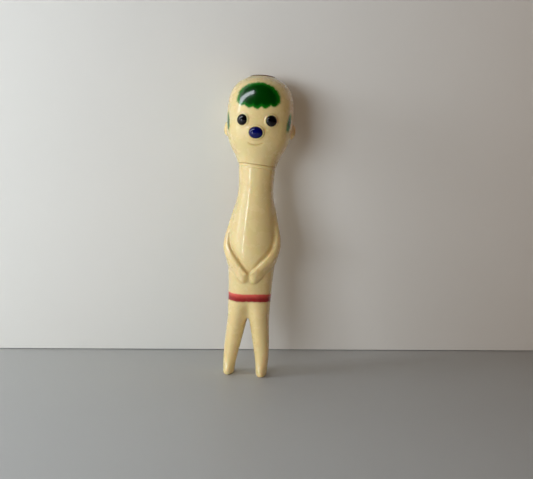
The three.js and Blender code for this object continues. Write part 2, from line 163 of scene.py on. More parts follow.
def between(before: float, start: float, end: float, after: float, share: float) -> float:
    """Gives a value on the smooth curve through four neighbours.

    Args:
        before: The value before the span.
        start: The value where the span starts.
        end: The value where the span ends.
        after: The value after the span.
        share: The share of the span.

    Returns:
        The value there.
    """
    slope_in = (end - before) / 2
    slope_out = (after - start) / 2
    bend = 2 * start - 2 * end + slope_in + slope_out
    lift = -3 * start + 3 * end - 2 * slope_in - slope_out
    return bend * share**3 + lift * share**2 + slope_in * share + start


def value_at(values: Sequence[float], place: float) -> float:
    """Gives the value of the smooth curve through a list of values.

    Args:
        values: The values, one span apart.
        place: The place, counted in spans.

    Returns:
        The value there.
    """
    last = len(values) - 1
    i = min(int(place), last - 1)
    near = [values[int(clamp(n, 0, last))] for n in (i - 1, i, i + 1, i + 2)]
    return between(*near, place - i)


class Loft:
    """A form with level oval sections, smooth between its stations."""

    halvings: int = 40

    def __init__(self, stations: Sequence[Station]) -> None:
        """Keeps the stations, which run either up or down."""
        self.stations = list(stations)
        self.spans = len(self.stations) - 1

    def section(self, place: float) -> Station:
        """Gives the section at a place counted in spans from the first station."""
        names = ("z", "wide", "deep", "x", "y")
        return Station(*(value_at([getattr(s, name) for s in self.stations], place) for name in names))

    def place_of(self, height: float) -> float:
        """Finds the place of a height, by halving the span that holds it.

        Args:
            height: The height.

        Returns:
            The place, counted in spans from the first station.
        """
        rising = self.stations[-1].z > self.stations[0].z
        low, high = 0.0, float(self.spans)
        for _ in range(self.halvings):
            middle = (low + high) / 2
            if (self.section(middle).z < height) == rising:
                low = middle
            else:
                high = middle
        return (low + high) / 2

    def at(self, height: float) -> Station:
        """Gives the section at a height."""
        return self.section(self.place_of(height))

    def front(self, x: float, height: float) -> Vector:
        """Gives a point of the front skin.

        Args:
            x: The distance from the middle.
            height: The height.

        Returns:
            The point.
        """
        section = self.at(height)
        share = clamp((x - section.x) / section.wide, -1, 1)
        return Vector((x, section.y - section.deep * math.sqrt(1 - share * share), height))

    def heights(self, start: float, end: float, steps: int) -> list[float]:
        """Gives the heights of the sections between two heights.

        Args:
            start: The first height.
            end: The last height.
            steps: How many sections each span between stations takes.

        Returns:
            The heights, closer where the stations are closer.
        """
        first, last = self.place_of(start), self.place_of(end)
        count = round(abs(last - first) * steps)
        return [self.section(blend(first, last, i / count)).z for i in range(count + 1)]


# Hand tools


class Editing:
    """Edit mode on one object, with nothing selected at the start."""

    def __init__(self, piece: bpy.types.Object) -> None:
        """Names the object to edit."""
        self.piece = piece

    def __enter__(self) -> "Editing":
        """Enters edit mode.

        Returns:
            This editing.
        """
        take(self.piece)
        bpy.ops.object.mode_set(mode="EDIT")
        bpy.ops.mesh.select_mode(type="VERT")
        self.select_nothing()
        return self

    def __exit__(
        self,
        kind: type[BaseException] | None,
        error: BaseException | None,
        trace: TracebackType | None,
    ) -> None:
        """Leaves edit mode."""
        bpy.ops.object.mode_set(mode="OBJECT")

    def mesh(self) -> bmesh.types.BMesh:
        """Gives the mesh as it is now."""
        return bmesh.from_edit_mesh(self.piece.data)

    def update(self) -> None:
        """Hands the changed mesh back to the object."""
        bmesh.update_edit_mesh(self.piece.data)

    def select_all(self) -> None:
        """Selects everything."""
        bpy.ops.mesh.select_all(action="SELECT")

    def select_nothing(self) -> None:
        """Deselects everything."""
        bpy.ops.mesh.select_all(action="DESELECT")

    def select(self, test: Callable[[Vector], bool]) -> None:
        """Selects the corners whose places pass a test, with the edges and faces between them.

        Args:
            test: The test of a corner's place.
        """
        mesh = self.mesh()
        for corner in mesh.verts:
            corner.select_set(test(corner.co))
        mesh.select_flush(True)
        self.update()

    def select_faces(self, test: Callable[[Vector], bool]) -> None:
        """Selects the faces whose middles pass a test, and nothing else.

        Args:
            test: The test of a face's middle.
        """
        self.select_nothing()
        mesh = self.mesh()
        for face in mesh.faces:
            if test(face.calc_center_median()):
                face.select_set(True)
        self.update()

    def select_open_edges(self) -> None:
        """Selects the open edges and nothing else."""
        self.select_nothing()
        mesh = self.mesh()
        for edge in mesh.edges:
            if edge.is_boundary:
                edge.select_set(True)
        self.update()

    def reshape(self, move: Move) -> None:
        """Moves each selected corner.

        Args:
            move: Gives a corner's new place from its old one.
        """
        for corner in self.mesh().verts:
            if corner.select:
                corner.co = move(corner.co)
        self.update()

    def extend(self, move: Move) -> None:
        """Extrudes what is selected and moves each new corner."""
        bpy.ops.mesh.extrude_region_move()
        self.reshape(move)

    def extend_to(self, ring: dict[int, Vector]) -> None:
        """Extrudes what is selected and sets each new corner by its number.

        Args:
            ring: The new places by corner number.
        """
        bpy.ops.mesh.extrude_region_move()
        mesh = self.mesh()
        number = mesh.verts.layers.int["corner"]
        for corner in mesh.verts:
            if corner.select:
                corner.co = ring[corner[number]]
        self.update()

    def cut(self, at: Vector, normal: Vector, clear_above: bool = False) -> None:
        """Cuts what is selected with a plane, and leaves the cut's edges selected.

        Args:
            at: A point on the plane.
            normal: The plane's normal.
            clear_above: Whether what lies on the normal's side goes.
        """
        bpy.ops.mesh.bisect(plane_co=at, plane_no=normal, clear_outer=clear_above, threshold=TOUCHING)


def take(*pieces: bpy.types.Object) -> None:
    """Selects these objects alone and makes the first one active."""
    bpy.ops.object.select_all(action="DESELECT")
    for piece in pieces:
        piece.select_set(True)
    bpy.context.view_layer.objects.active = pieces[0]


def rename(piece: bpy.types.Object, name: str) -> bpy.types.Object:
    """Names an object and its mesh.

    Args:
        piece: The object.
        name: The name of both.

    Returns:
        The object.
    """
    piece.name = name
    piece.data.name = name
    return piece


def finish_with(piece: bpy.types.Object, kind: str, **settings: object) -> None:
    """Puts a modifier on an object and applies it.

    Args:
        piece: The object.
        kind: The modifier's type.
        settings: The modifier's settings by name.
    """
    take(piece)
    bpy.ops.object.modifier_add(type=kind)
    modifier = piece.modifiers[-1]
    for name, value in settings.items():
        setattr(modifier, name, value)
    bpy.ops.object.modifier_apply(modifier=modifier.name)


def subdivide(piece: bpy.types.Object, levels: int) -> None:
    """Rounds a cage with an applied subdivision surface."""
    finish_with(piece, "SUBSURF", levels=levels, render_levels=levels)


def face_outward(piece: bpy.types.Object) -> None:
    """Turns all faces of a closed form outwards.

    Args:
        piece: The form.
    """
    with Editing(piece) as edit:
        edit.select_all()
        bpy.ops.mesh.normals_make_consistent(inside=False)


def join(name: str, *pieces: bpy.types.Object) -> bpy.types.Object:
    """Makes one object of several.

    Args:
        name: The name of the whole.
        pieces: The objects.

    Returns:
        The whole.
    """
    take(*pieces)
    bpy.ops.object.join()
    return rename(pieces[0], name)


def place_at(piece: bpy.types.Object, matrix: Matrix) -> None:
    """Puts an object's place into its mesh."""
    piece.data.transform(matrix)
    piece.data.update()


def start_ring(name: str, ring: Sequence[Vector]) -> bpy.types.Object:
    """Adds a filled circle and sets its corners on a ring of points.

    Args:
        name: The object's name.
        ring: The points.

    Returns:
        The flat form, its corners numbered in the ring's order.
    """
    bpy.ops.object.select_all(action="DESELECT")
    bpy.ops.mesh.primitive_circle_add(vertices=len(ring), radius=mm(10), fill_type="NGON")
    piece = rename(bpy.context.object, name)
    number = piece.data.attributes.new("corner", "INT", "POINT")
    for i, point in enumerate(ring):
        piece.data.vertices[i].co = point
        number.data[i].value = i
    return piece


def drop_numbers(piece: bpy.types.Object) -> None:
    """Takes the corner numbers off a finished form."""
    piece.data.attributes.remove(piece.data.attributes["corner"])


def sweep(name: str, rings: Sequence[Sequence[Vector]]) -> bpy.types.Object:
    """Extrudes a closed form from ring to ring.

    Args:
        name: The object's name.
        rings: Rings with the same number of points each.

    Returns:
        The form, with a flat cap at each end.
    """
    piece = start_ring(name, rings[0])
    with Editing(piece) as edit:
        edit.select_all()
        for ring in rings[1:]:
            edit.extend_to(dict(enumerate(ring)))
    drop_numbers(piece)
    face_outward(piece)
    return piece


def round_rings(profile: Profile, sides: int, ratio: float = 1.0) -> list[list[Vector]]:
    """Gives the rings of a turned form about +Z.

    Args:
        profile: Pairs of radius and height, from one end to the other.
        sides: The number of points round each ring.
        ratio: The rings' depth for a width of one.

    Returns:
        One ring for each pair.
    """
    turns = [2 * math.pi * k / sides for k in range(sides)]
    return [
        [Vector((radius * math.cos(turn), radius * ratio * math.sin(turn), height)) for turn in turns]
        for radius, height in profile
    ]


def dome_profile(radius: float, foot: float, rise: float, steps: int) -> list[tuple[float, float]]:
    """Gives the profile of a dome.

    Args:
        radius: The radius of its foot.
        foot: The height of its foot.
        rise: How far it rises from there.
        steps: The number of rings before its tip.

    Returns:
        Pairs of radius and height, from the foot up to a tiny flat tip.
    """
    turns = [math.pi / 2 * i / steps for i in range(steps)]
    dome = [(radius * math.cos(turn), foot + rise * math.sin(turn)) for turn in turns]
    dome.append((radius * DOME_TIP, foot + rise))
    return dome


def soften(piece: bpy.types.Object, passes: int) -> None:
    """Smooths a skin a number of times."""
    finish_with(piece, "SMOOTH", factor=0.5, iterations=passes)


def melt(piece: bpy.types.Object, voxel: float, passes: int) -> None:
    """Makes overlapping forms one skin with soft creases, as a mould's wax master has.

    Args:
        piece: The joined forms.
        voxel: The width of the new faces.
        passes: How often the skin is smoothed.
    """
    finish_with(piece, "REMESH", mode="VOXEL", voxel_size=voxel, adaptivity=0.0)
    soften(piece, passes)


def corner_vectors(mesh: bpy.types.Mesh, name: str) -> np.ndarray:
    """Gives a vector of each corner.

    Args:
        mesh: The mesh.
        name: What the vector is, "co" for the corner's place or "normal".

    Returns:
        An array with a row for each corner.
    """
    values = np.empty(len(mesh.vertices) * 3, np.float32)
    mesh.vertices.foreach_get(name, values)
    return values.reshape(-1, 3)


def press_line(piece: bpy.types.Object, line: Sequence[Vector], width: float, depth: float) -> None:
    """Presses a soft groove into a skin along a line, fading out at both ends.

    Args:
        piece: The skin.
        line: Closely spaced points on the skin.
        width: The groove's half width.
        depth: Its depth in the middle.
    """
    bluntness = 0.4
    mesh = piece.data
    places = corner_vectors(mesh, "co")
    best = np.full(len(places), np.inf, np.float32)
    taper = np.zeros(len(places), np.float32)
    for i, point in enumerate(line):
        away = np.linalg.norm(places - np.array(point, np.float32), axis=1)
        nearer = away < best
        best[nearer] = away[nearer]
        taper[nearer] = math.sin(math.pi * (i + 0.5) / len(line)) ** bluntness
    pressed = depth * taper * np.exp(-((best / width) ** 2))
    places -= corner_vectors(mesh, "normal") * pressed[:, None]
    mesh.vertices.foreach_set("co", places.ravel())
    mesh.update()


def mark_creases(piece: bpy.types.Object, spread: int, depth: float) -> None:
    """Writes an attribute that is 1 in a skin's hollows and 0 elsewhere, the mask of the vinyl's painted
    shade.

    Args:
        piece: The skin.
        spread: How many faces wide a crease's painted shade runs out.
        depth: The bend of the skin that counts as a full crease, in faces.
    """
    kept_each_step = 0.92
    mesh = piece.data
    places = corner_vectors(mesh, "co")
    ends = np.empty(len(mesh.edges) * 2, np.int32)
    mesh.edges.foreach_get("vertices", ends)
    first, second = ends.reshape(-1, 2).T
    count = np.maximum(np.bincount(ends, minlength=len(places)), 1)

    def around(values: np.ndarray) -> np.ndarray:
        """Averages a value over each corner's neighbours.

        Args:
            values: The value of each corner.

        Returns:
            The average of each corner.
        """
        total = np.zeros_like(values)
        np.add.at(total, first, values[second])
        np.add.at(total, second, values[first])
        return total / (count if values.ndim == 1 else count[:, None])

    length = float(np.linalg.norm(places[first] - places[second], axis=1).mean())
    hollow = np.einsum("ij,ij->i", around(places) - places, corner_vectors(mesh, "normal")) / length
    hollow = np.clip(hollow / depth, 0, 1)
    for _ in range(spread):
        hollow = np.maximum(hollow * kept_each_step, around(hollow))
    attribute = mesh.attributes.new("crease", "FLOAT", "POINT")
    attribute.data.foreach_set("value", np.clip(hollow, 0, 1).astype(np.float32))


def dress(
    piece: bpy.types.Object,
    material: bpy.types.Material,
    slot: str,
    carrier: Carrier,
    node: str,
    sharp: float,
) -> None:
    """Shades a finished piece, gives it its material, sets it on the body that it moves with and hides the
    imported node that it stands for.

    Args:
        piece: The finished piece.
        material: Its material.
        slot: Not used.
        carrier: The body that it moves with.
        node: The node that it stands for.
        sharp: The angle in degrees from which its edges look sharp.
    """
    take(piece)
    bpy.ops.object.shade_smooth_by_angle(angle=math.radians(sharp))
    piece.data.materials.clear()
    piece.data.materials.append(material)
    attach(piece, carrier.value)
    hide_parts(node)
    log.info("%s: %d faces, rides on %s", piece.name, len(piece.data.polygons), carrier.value)


# Materials


@dataclass(frozen=True)
class Grain:
    """The settings of a noise: how fine it is, how many layers it has and how rough they are."""

    scale: float
    detail: float = 2.0
    roughness: float = 0.5


class NodeBoard:
    """Places and wires the nodes of one tree."""

    # A Mix node has a socket of each name for every kind of value, so the colours' go by number
    first_color: int = 6
    second_color: int = 7
    mixed_color: int = 2

    def __init__(self, tree: bpy.types.NodeTree) -> None:
        """Keeps the tree."""
        self.tree = tree

    def add(self, kind: str, **settings: object) -> bpy.types.Node:
        """Adds a node.

        Args:
            kind: The node's type.
            settings: Its settings by name.

        Returns:
            The node.
        """
        node = self.tree.nodes.new(kind)
        for name, value in settings.items():
            setattr(node, name, value)
        return node

    def feed(self, target: Socket, value: Value | Color | Sequence[float]) -> None:
        """Links a socket into another, or sets its value.

        Args:
            target: The socket that takes the value.
            value: The socket or the constant that it takes.
        """
        if isinstance(value, bpy.types.NodeSocket):
            self.tree.links.new(value, target)
        else:
            target.default_value = value

    def math(self, operation: str, *values: Value, clamped: bool = False) -> Socket:
        """Adds a Math node.

        Args:
            operation: What it does.
            values: The numbers that it does it with.
            clamped: Whether the result is held between 0 and 1.

        Returns:
            The result.
        """
        node = self.add("ShaderNodeMath", operation=operation, use_clamp=clamped)
        for target, value in zip(node.inputs, values):
            self.feed(target, value)
        return node.outputs[0]

    def plus(self, first: Value, second: Value) -> Socket:
        """Gives the sum of two numbers."""
        return self.math("ADD", first, second)

    def minus(self, first: Value, second: Value) -> Socket:
        """Gives the first number less the second."""
        return self.math("SUBTRACT", first, second)

    def times(self, first: Value, second: Value) -> Socket:
        """Gives the product of two numbers."""
        return self.math("MULTIPLY", first, second)

    def scaled(self, value: Value, factor: Value, offset: Value, clamped: bool = False) -> Socket:
        """Gives a number times a factor, plus an offset."""
        return self.math("MULTIPLY_ADD", value, factor, offset, clamped=clamped)

    def squared(self, value: Value) -> Socket:
        """Gives a number times itself."""
        return self.math("POWER", value, 2.0)

    def outside_oval(self, across: Value, along: Value, half: float) -> Socket:
        """Gives the distance outside an oval.

        Args:
            across: The distance from the middle as a share of the half width.
            along: The distance from the middle as a share of the half height.
            half: The half size that the distance is counted with.

        Returns:
            The distance, which is negative inside.
        """
        spread = self.math("SQRT", self.plus(self.squared(across), self.squared(along)))
        return self.times(self.minus(spread, 1.0), half)

    def step(self, value: Value, low: Value, high: Value) -> Socket:
        """Adds a soft step.

        Args:
            value: The number that it steps with.
            low: Where the step is 0.
            high: Where the step is 1.

        Returns:
            The step.
        """
        node = self.add("ShaderNodeMapRange", interpolation_type="SMOOTHSTEP", clamp=True)
        for target, given in zip(node.inputs, (value, low, high, 0.0, 1.0)):
            self.feed(target, given)
        return node.outputs[0]

    def mix(self, share: Value, start: Color | Socket, end: Color | Socket) -> Socket:
        """Adds a mix of two colours.

        Args:
            share: The second colour's share.
            start: The first colour.
            end: The second colour.

        Returns:
            The mixed colour.
        """
        node = self.add("ShaderNodeMix", data_type="RGBA")
        self.feed(node.inputs["Factor"], share)
        self.feed(node.inputs[self.first_color], start)
        self.feed(node.inputs[self.second_color], end)
        return node.outputs[self.mixed_color]

    def noise(self, vector: Socket, grain: Grain) -> Socket:
        """Adds a noise.

        Args:
            vector: The place.
            grain: The noise's settings.

        Returns:
            Its value.
        """
        node = self.add("ShaderNodeTexNoise")
        self.feed(node.inputs["Vector"], vector)
        self.feed(node.inputs["Scale"], grain.scale)
        self.feed(node.inputs["Detail"], grain.detail)
        self.feed(node.inputs["Roughness"], grain.roughness)
        return node.outputs[0]

    def millimetres(self) -> tuple[Socket, Socket, Socket, Socket]:
        """Adds the object's own coordinates in millimetres.

        Returns:
            The vector and its three parts.
        """
        place = self.add("ShaderNodeTexCoord").outputs["Object"]
        scaled = self.add("ShaderNodeVectorMath", operation="SCALE")
        self.feed(scaled.inputs[0], place)
        self.feed(scaled.inputs["Scale"], MILLIMETRES_IN_METRE)
        parts = self.add("ShaderNodeSeparateXYZ")
        self.feed(parts.inputs[0], scaled.outputs[0])
        return (scaled.outputs[0], *parts.outputs)

    def group(self, tree: bpy.types.NodeTree, **values: Value) -> bpy.types.Node:
        """Adds a node group.

        Args:
            tree: The group.
            values: Its inputs by name.

        Returns:
            The group's node.
        """
        node = self.add("ShaderNodeGroup", node_tree=tree)
        for name, value in values.items():
            self.feed(node.inputs[name.capitalize()], value)
        return node

    def bump(self, height: Socket, strength: float, distance: float) -> Socket:
        """Adds a bump.

        Args:
            height: The height that changes over the surface.
            strength: How strong the bump is.
            distance: How far a height of 1 stands up.

        Returns:
            The bump's normal.
        """
        node = self.add("ShaderNodeBump")
        self.feed(node.inputs["Strength"], strength)
        self.feed(node.inputs["Distance"], distance)
        self.feed(node.inputs["Height"], height)
        return node.outputs[0]


def new_group(
    name: str, inputs: dict[str, float | None], outputs: Sequence[str]
) -> tuple[NodeBoard, dict[str, Socket], bpy.types.Node]:
    """Starts a shader node group.

    Args:
        name: The group's name.
        inputs: The names of its inputs with their values, or None for a vector.
        outputs: The names of its outputs, all numbers.

    Returns:
        The board to build on, the inputs by name and the output node.
    """
    tree = bpy.data.node_groups.new(name, "ShaderNodeTree")
    for label, value in inputs.items():
        kind = "NodeSocketVector" if value is None else "NodeSocketFloat"
        socket = tree.interface.new_socket(label, in_out="INPUT", socket_type=kind)
        if value is not None:
            socket.default_value = value
    for label in outputs:
        tree.interface.new_socket(label, in_out="OUTPUT", socket_type="NodeSocketFloat")
    board = NodeBoard(tree)
    start = board.add("NodeGroupInput")
    return board, {label: start.outputs[label] for label in inputs}, board.add("NodeGroupOutput")


@dataclass(frozen=True)
class SurfaceMarks:
    """What the mould and the hands leave on a material: relief, tone, smears and scratches."""

    height: Socket
    mottle: Socket
    smear: Socket
    scratch: Socket


class Effects:
    """The effects that more than one material uses, each a node group that is built once."""

    edge_wander: Grain = Grain(0.35)
    wander_width: float = 1.1
    solid_edge: tuple[float, float] = (0.5, -0.5)
    drift_edge: float = -0.6
    droplets: Grain = Grain(4.2, 1.0, 0.4)
    droplet_edge: tuple[float, float] = (0.52, 0.68)
    drift_falloff: float = 2.2
    droplet_cover: float = 0.34
    haze_cover: float = 0.3
    mould_wave: Grain = Grain(0.11, 1.5, 0.4)
    mould_grain: Grain = Grain(1.6)
    grain_height: float = 0.06
    mottle: Grain = Grain(0.045, 3.0, 0.55)
    smears: Grain = Grain(0.09, 4.0, 0.62)
    smear_edge: tuple[float, float] = (0.45, 0.75)
    hairlines: Grain = Grain(0.8, 1.0, 0.4)
    hairline_edge: tuple[float, float] = (0.012, 0.002)
    hairline_turn: tuple[float, float, float] = (0.6, 0.35, 0.9)
    hairline_stretch: tuple[float, float, float] = (3.4, 3.4, 0.16)
    rubbed_places: Grain = Grain(0.14, 1.0)
    rubbed_edge: tuple[float, float] = (0.5, 0.62)

    def __init__(self) -> None:
        """Builds the groups."""
        self.spray = self.build_spray()
        self.moulding = self.build_moulding()
        self.handling = self.build_handling()

    def build_spray(self) -> bpy.types.NodeTree:
        """Builds the sprayed edge: a mask from a distance, with a soft side and fine stray droplets.

        Returns:
            The group.
        """
        inputs = {"Place": None, "Distance": 0.0, "Softness": 1.0, "Drift": 2.5}
        board, given, end = new_group("sprayed_edge", inputs, ["Mask"])
        place, softness = given["Place"], given["Softness"]
        wander = board.scaled(board.noise(place, self.edge_wander), self.wander_width, -self.wander_width / 2)
        distance = board.plus(given["Distance"], board.times(wander, softness))
        solid = board.step(distance, *(board.times(softness, share) for share in self.solid_edge))
        reach = board.step(distance, given["Drift"], board.times(softness, self.drift_edge))
        drops = board.step(board.noise(place, self.droplets), *self.droplet_edge)
        cover = board.scaled(drops, self.droplet_cover, self.haze_cover)
        stray = board.times(board.math("POWER", reach, self.drift_falloff), cover)
        board.feed(end.inputs["Mask"], board.math("MAXIMUM", solid, stray, clamped=True))
        return board.tree

    def build_moulding(self) -> bpy.types.NodeTree:
        """Builds the slow waviness and the fine grain that a skin keeps from its mould.

        Returns:
            The group.
        """
        outputs = ["Height", "Mottle"]
        board, given, end = new_group("moulded_surface", {"Place": None, "Grain": 1.0}, outputs)
        place = given["Place"]
        wave = board.noise(place, self.mould_wave)
        grain = board.times(board.noise(place, self.mould_grain), given["Grain"])
        board.feed(end.inputs["Height"], board.scaled(grain, self.grain_height, wave))
        board.feed(end.inputs["Mottle"], board.noise(place, self.mottle))
        return board.tree

    def build_handling(self) -> bpy.types.NodeTree:
        """Builds the marks of handling: smears that dull the gloss and hairline scratches.

        Returns:
            The group.
        """
        outputs = ["Smear", "Scratch"]
        board, given, end = new_group("handling_marks", {"Place": None, "Amount": 1.0}, outputs)
        place, amount = given["Place"], given["Amount"]
        smear = board.step(board.noise(place, self.smears), *self.smear_edge)
        board.feed(end.inputs["Smear"], board.times(smear, amount))
        stretched = board.add("ShaderNodeMapping")
        board.feed(stretched.inputs["Vector"], place)
        board.feed(stretched.inputs["Rotation"], self.hairline_turn)
        board.feed(stretched.inputs["Scale"], self.hairline_stretch)
        line = board.minus(board.noise(stretched.outputs[0], self.hairlines), 0.5)
        thin = board.step(board.math("ABSOLUTE", line), *self.hairline_edge)
        rubbed = board.step(board.noise(place, self.rubbed_places), *self.rubbed_edge)
        scratch = board.times(thin, rubbed)
        board.feed(end.inputs["Scratch"], board.times(scratch, amount))
        return board.tree

    def sprayed(
        self, board: NodeBoard, place: Socket, distance: Socket, softness: float, drift: float
    ) -> Socket:
        """Places the sprayed edge in a material.

        Args:
            board: The material's board.
            place: The place in millimetres.
            distance: The distance outside the paint's edge.
            softness: How wide the edge is, in millimetres.
            drift: How far out the stray droplets reach, in millimetres.

        Returns:
            The paint's mask.
        """
        node = board.group(self.spray, place=place, distance=distance, softness=softness, drift=drift)
        return node.outputs["Mask"]

    def marks(self, board: NodeBoard, place: Socket, grain: float, amount: float) -> SurfaceMarks:
        """Places the moulded surface and the marks of handling in a material.

        Args:
            board: The material's board.
            place: The place in millimetres.
            grain: How strong the fine grain is.
            amount: How strong the marks of handling are.

        Returns:
            The marks.
        """
        moulding = board.group(self.moulding, place=place, grain=grain).outputs
        handling = board.group(self.handling, place=place, amount=amount).outputs
        return SurfaceMarks(moulding["Height"], moulding["Mottle"], handling["Smear"], handling["Scratch"])


def new_material(name: str) -> tuple[bpy.types.Material, NodeBoard, bpy.types.Node]:
    """Starts a material.

    Args:
        name: The material's name.

    Returns:
        The material, its board and its Principled shader.
    """
    material = bpy.data.materials.new(name)
    material.use_nodes = True
    board = NodeBoard(material.node_tree)
    return material, board, material.node_tree.nodes["Principled BSDF"]


@dataclass(frozen=True)
class SprayedForelock:
    """A fringe painted on the forehead, with rounded tips. Heights are millimetres above the floor."""

    middle: float = 256.0
    half_width: float = 19.5
    half_height: float = 14.5
    tips: float = 248.0
    tip_width: float = 7.8
    tip_depth: float = 1.9
    arch: float = 0.013
    front: float = 2.0

    def distance(self, board: NodeBoard, x: Socket, y: Socket, z: Socket) -> Socket:
        """Gives the distance outside the fringe's edge, in millimetres.

        Args:
            board: The material's board.
            x: The place's x in millimetres.
            y: Its y.
            z: Its z.

        Returns:
            The distance.
        """
        across = board.math("DIVIDE", x, self.half_width)
        along = board.math("DIVIDE", board.minus(z, self.middle), self.half_height)
        outside = board.outside_oval(across, along, self.half_height)
        lobe = board.math("ABSOLUTE", board.math("COSINE", board.times(x, math.pi / self.tip_width)))
        edge = board.scaled(board.squared(x), self.arch, self.tips)
        edge = board.scaled(lobe, -self.tip_depth, edge)
        below = board.minus(edge, z)
        behind = board.plus(y, self.front)
        return board.math("MAXIMUM", board.math("MAXIMUM", outside, below), behind)


@dataclass(frozen=True)
class SprayedTemples:
    """A small tuft painted in front of each ear. Places are millimetres."""

    height: float = 236.5
    depth: float = -11.0
    half_width: float = 3.4
    half_height: float = 8.2
    lean: float = 0.16
    least_side: float = 20.0

    def distance(self, board: NodeBoard, x: Socket, y: Socket, z: Socket) -> Socket:
        """Gives the distance outside the tufts' edges, in millimetres.

        Args:
            board: The material's board.
            x: The place's x in millimetres.
            y: Its y.
            z: Its z.

        Returns:
            The distance.
        """
        rise = board.minus(z, self.height)
        back = board.minus(board.minus(y, self.depth), board.times(rise, self.lean))
        across = board.math("DIVIDE", back, self.half_width)
        along = board.math("DIVIDE", rise, self.half_height)
        outside = board.outside_oval(across, along, self.half_width)
        inner = board.minus(self.least_side, board.math("ABSOLUTE", x))
        return board.math("MAXIMUM", outside, inner)


@dataclass(frozen=True)
class SprayedSash:
    """A band painted round the hips. Heights are millimetres above the floor."""

    height: float = 74.6
    half_width: float = 3.6
    sway: float = 0.5
    sway_turn: float = 0.16

    def rise(self, board: NodeBoard, x: Socket, z: Socket) -> Socket:
        """Gives the height above the band's middle line, in millimetres."""
        sway = board.times(board.math("SINE", board.times(x, self.sway_turn)), self.sway)
        return board.minus(board.minus(z, self.height), sway)

    def distance(self, board: NodeBoard, rise: Socket) -> Socket:
        """Gives the distance outside the band, in millimetres."""
        return board.minus(board.math("ABSOLUTE", rise), self.half_width)


@dataclass(frozen=True)
class PaintFade:
    """A paint's soft change of tone over a distance in millimetres, which a noise makes uneven."""

    start: float
    end: float
    swing: float
    grain: Grain

    def share(self, board: NodeBoard, place: Socket, distance: Socket) -> Socket:
        """Gives the share of the second tone."""
        uneven = board.scaled(board.noise(place, self.grain), self.swing, distance)
        return board.step(uneven, self.start, self.end)


@dataclass(frozen=True)
class VinylFinish:
    """Glossy cream soft vinyl with sprayed green and red paint, and painted amber shade in its creases."""

    cream: Color = (0.82, 0.645, 0.305, 1)
    # The amber serves both as the mottle's random tone and as painted shade in the creases
    amber: Color = (0.55, 0.33, 0.085, 1)
    mottle_stain: float = 0.16
    painted_crease_shade: float = 0.62
    forelock: SprayedForelock = SprayedForelock()
    temples: SprayedTemples = SprayedTemples()
    green: Color = srgb(1, 58, 4)
    green_edge: Color = srgb(20, 122, 22)
    green_fade: PaintFade = PaintFade(1.6, -2.6, 3.0, Grain(0.16))
    green_softness: float = 2.0
    green_drift: float = 3.0
    sash: SprayedSash = SprayedSash()
    red: Color = srgb(146, 3, 6)
    pink: Color = srgb(222, 92, 78)
    red_fade: PaintFade = PaintFade(5.2, -0.6, 2.4, Grain(0.2))
    red_softness: float = 1.0
    red_drift: float = 2.2
    roughness: float = 0.26
    paint_roughness: float = 0.18
    smear_dulling: float = 0.09
    crease_dulling: float = 0.12
    scratch_dulling: float = 0.12
    paint_height: float = 0.35
    scratch_height: float = -0.05
    relief_strength: float = 0.5
    relief: float = mm(0.09)
    translucency: float = 0.35
    light_reach: float = mm(4)
    light_spread: tuple[float, float, float] = (1.0, 0.4, 0.15)
    refraction: float = 1.45
    coat: float = 0.6
    coat_roughness: float = 0.06

    def material(self, effects: Effects) -> bpy.types.Material:
        """Builds the material that both skins share.

        Args:
            effects: The shared node groups.

        Returns:
            The material.
        """
        material, board, shader = new_material("cream_soft_vinyl")
        place, x, y, z = board.millimetres()
        marks = effects.marks(board, place, grain=1.0, amount=1.0)
        crease = board.add("ShaderNodeAttribute", attribute_name="crease").outputs["Fac"]

        # Painted shade: the creases are darkened towards amber, on top of the mottle's random amber tone
        crease_shade = board.times(crease, self.painted_crease_shade)
        amber_and_painted_shade = board.scaled(marks.mottle, self.mottle_stain, crease_shade, clamped=True)
        color = board.mix(amber_and_painted_shade, self.cream, self.amber)

        forelock = self.forelock.distance(board, x, y, z)
        hair = board.math("MINIMUM", forelock, self.temples.distance(board, x, y, z))
        hair_mask = effects.sprayed(board, place, hair, self.green_softness, self.green_drift)
        green = board.mix(self.green_fade.share(board, place, hair), self.green_edge, self.green)
        color = board.mix(hair_mask, color, green)

        rise = self.sash.rise(board, x, z)
        band = self.sash.distance(board, rise)
        band_mask = effects.sprayed(board, place, band, self.red_softness, self.red_drift)
        red = board.mix(self.red_fade.share(board, place, rise), self.pink, self.red)
        board.feed(shader.inputs["Base Color"], board.mix(band_mask, color, red))

        paint = board.math("MAXIMUM", hair_mask, band_mask)
        dulled = board.scaled(paint, self.paint_roughness - self.roughness, self.roughness)
        dulled = board.scaled(marks.smear, self.smear_dulling, dulled)
        dulled = board.scaled(crease, self.crease_dulling, dulled)
        dulled = board.scaled(marks.scratch, self.scratch_dulling, dulled, clamped=True)
        board.feed(shader.inputs["Roughness"], dulled)

        height = board.scaled(paint, self.paint_height, marks.height)
        height = board.scaled(marks.scratch, self.scratch_height, height)
        board.feed(shader.inputs["Normal"], board.bump(height, self.relief_strength, self.relief))

        shader.inputs["Subsurface Weight"].default_value = self.translucency
        shader.inputs["Subsurface Radius"].default_value = self.light_spread
        shader.inputs["Subsurface Scale"].default_value = self.light_reach
        shader.inputs["IOR"].default_value = self.refraction
        shader.inputs["Coat Weight"].default_value = self.coat
        shader.inputs["Coat Roughness"].default_value = self.coat_roughness
        return material


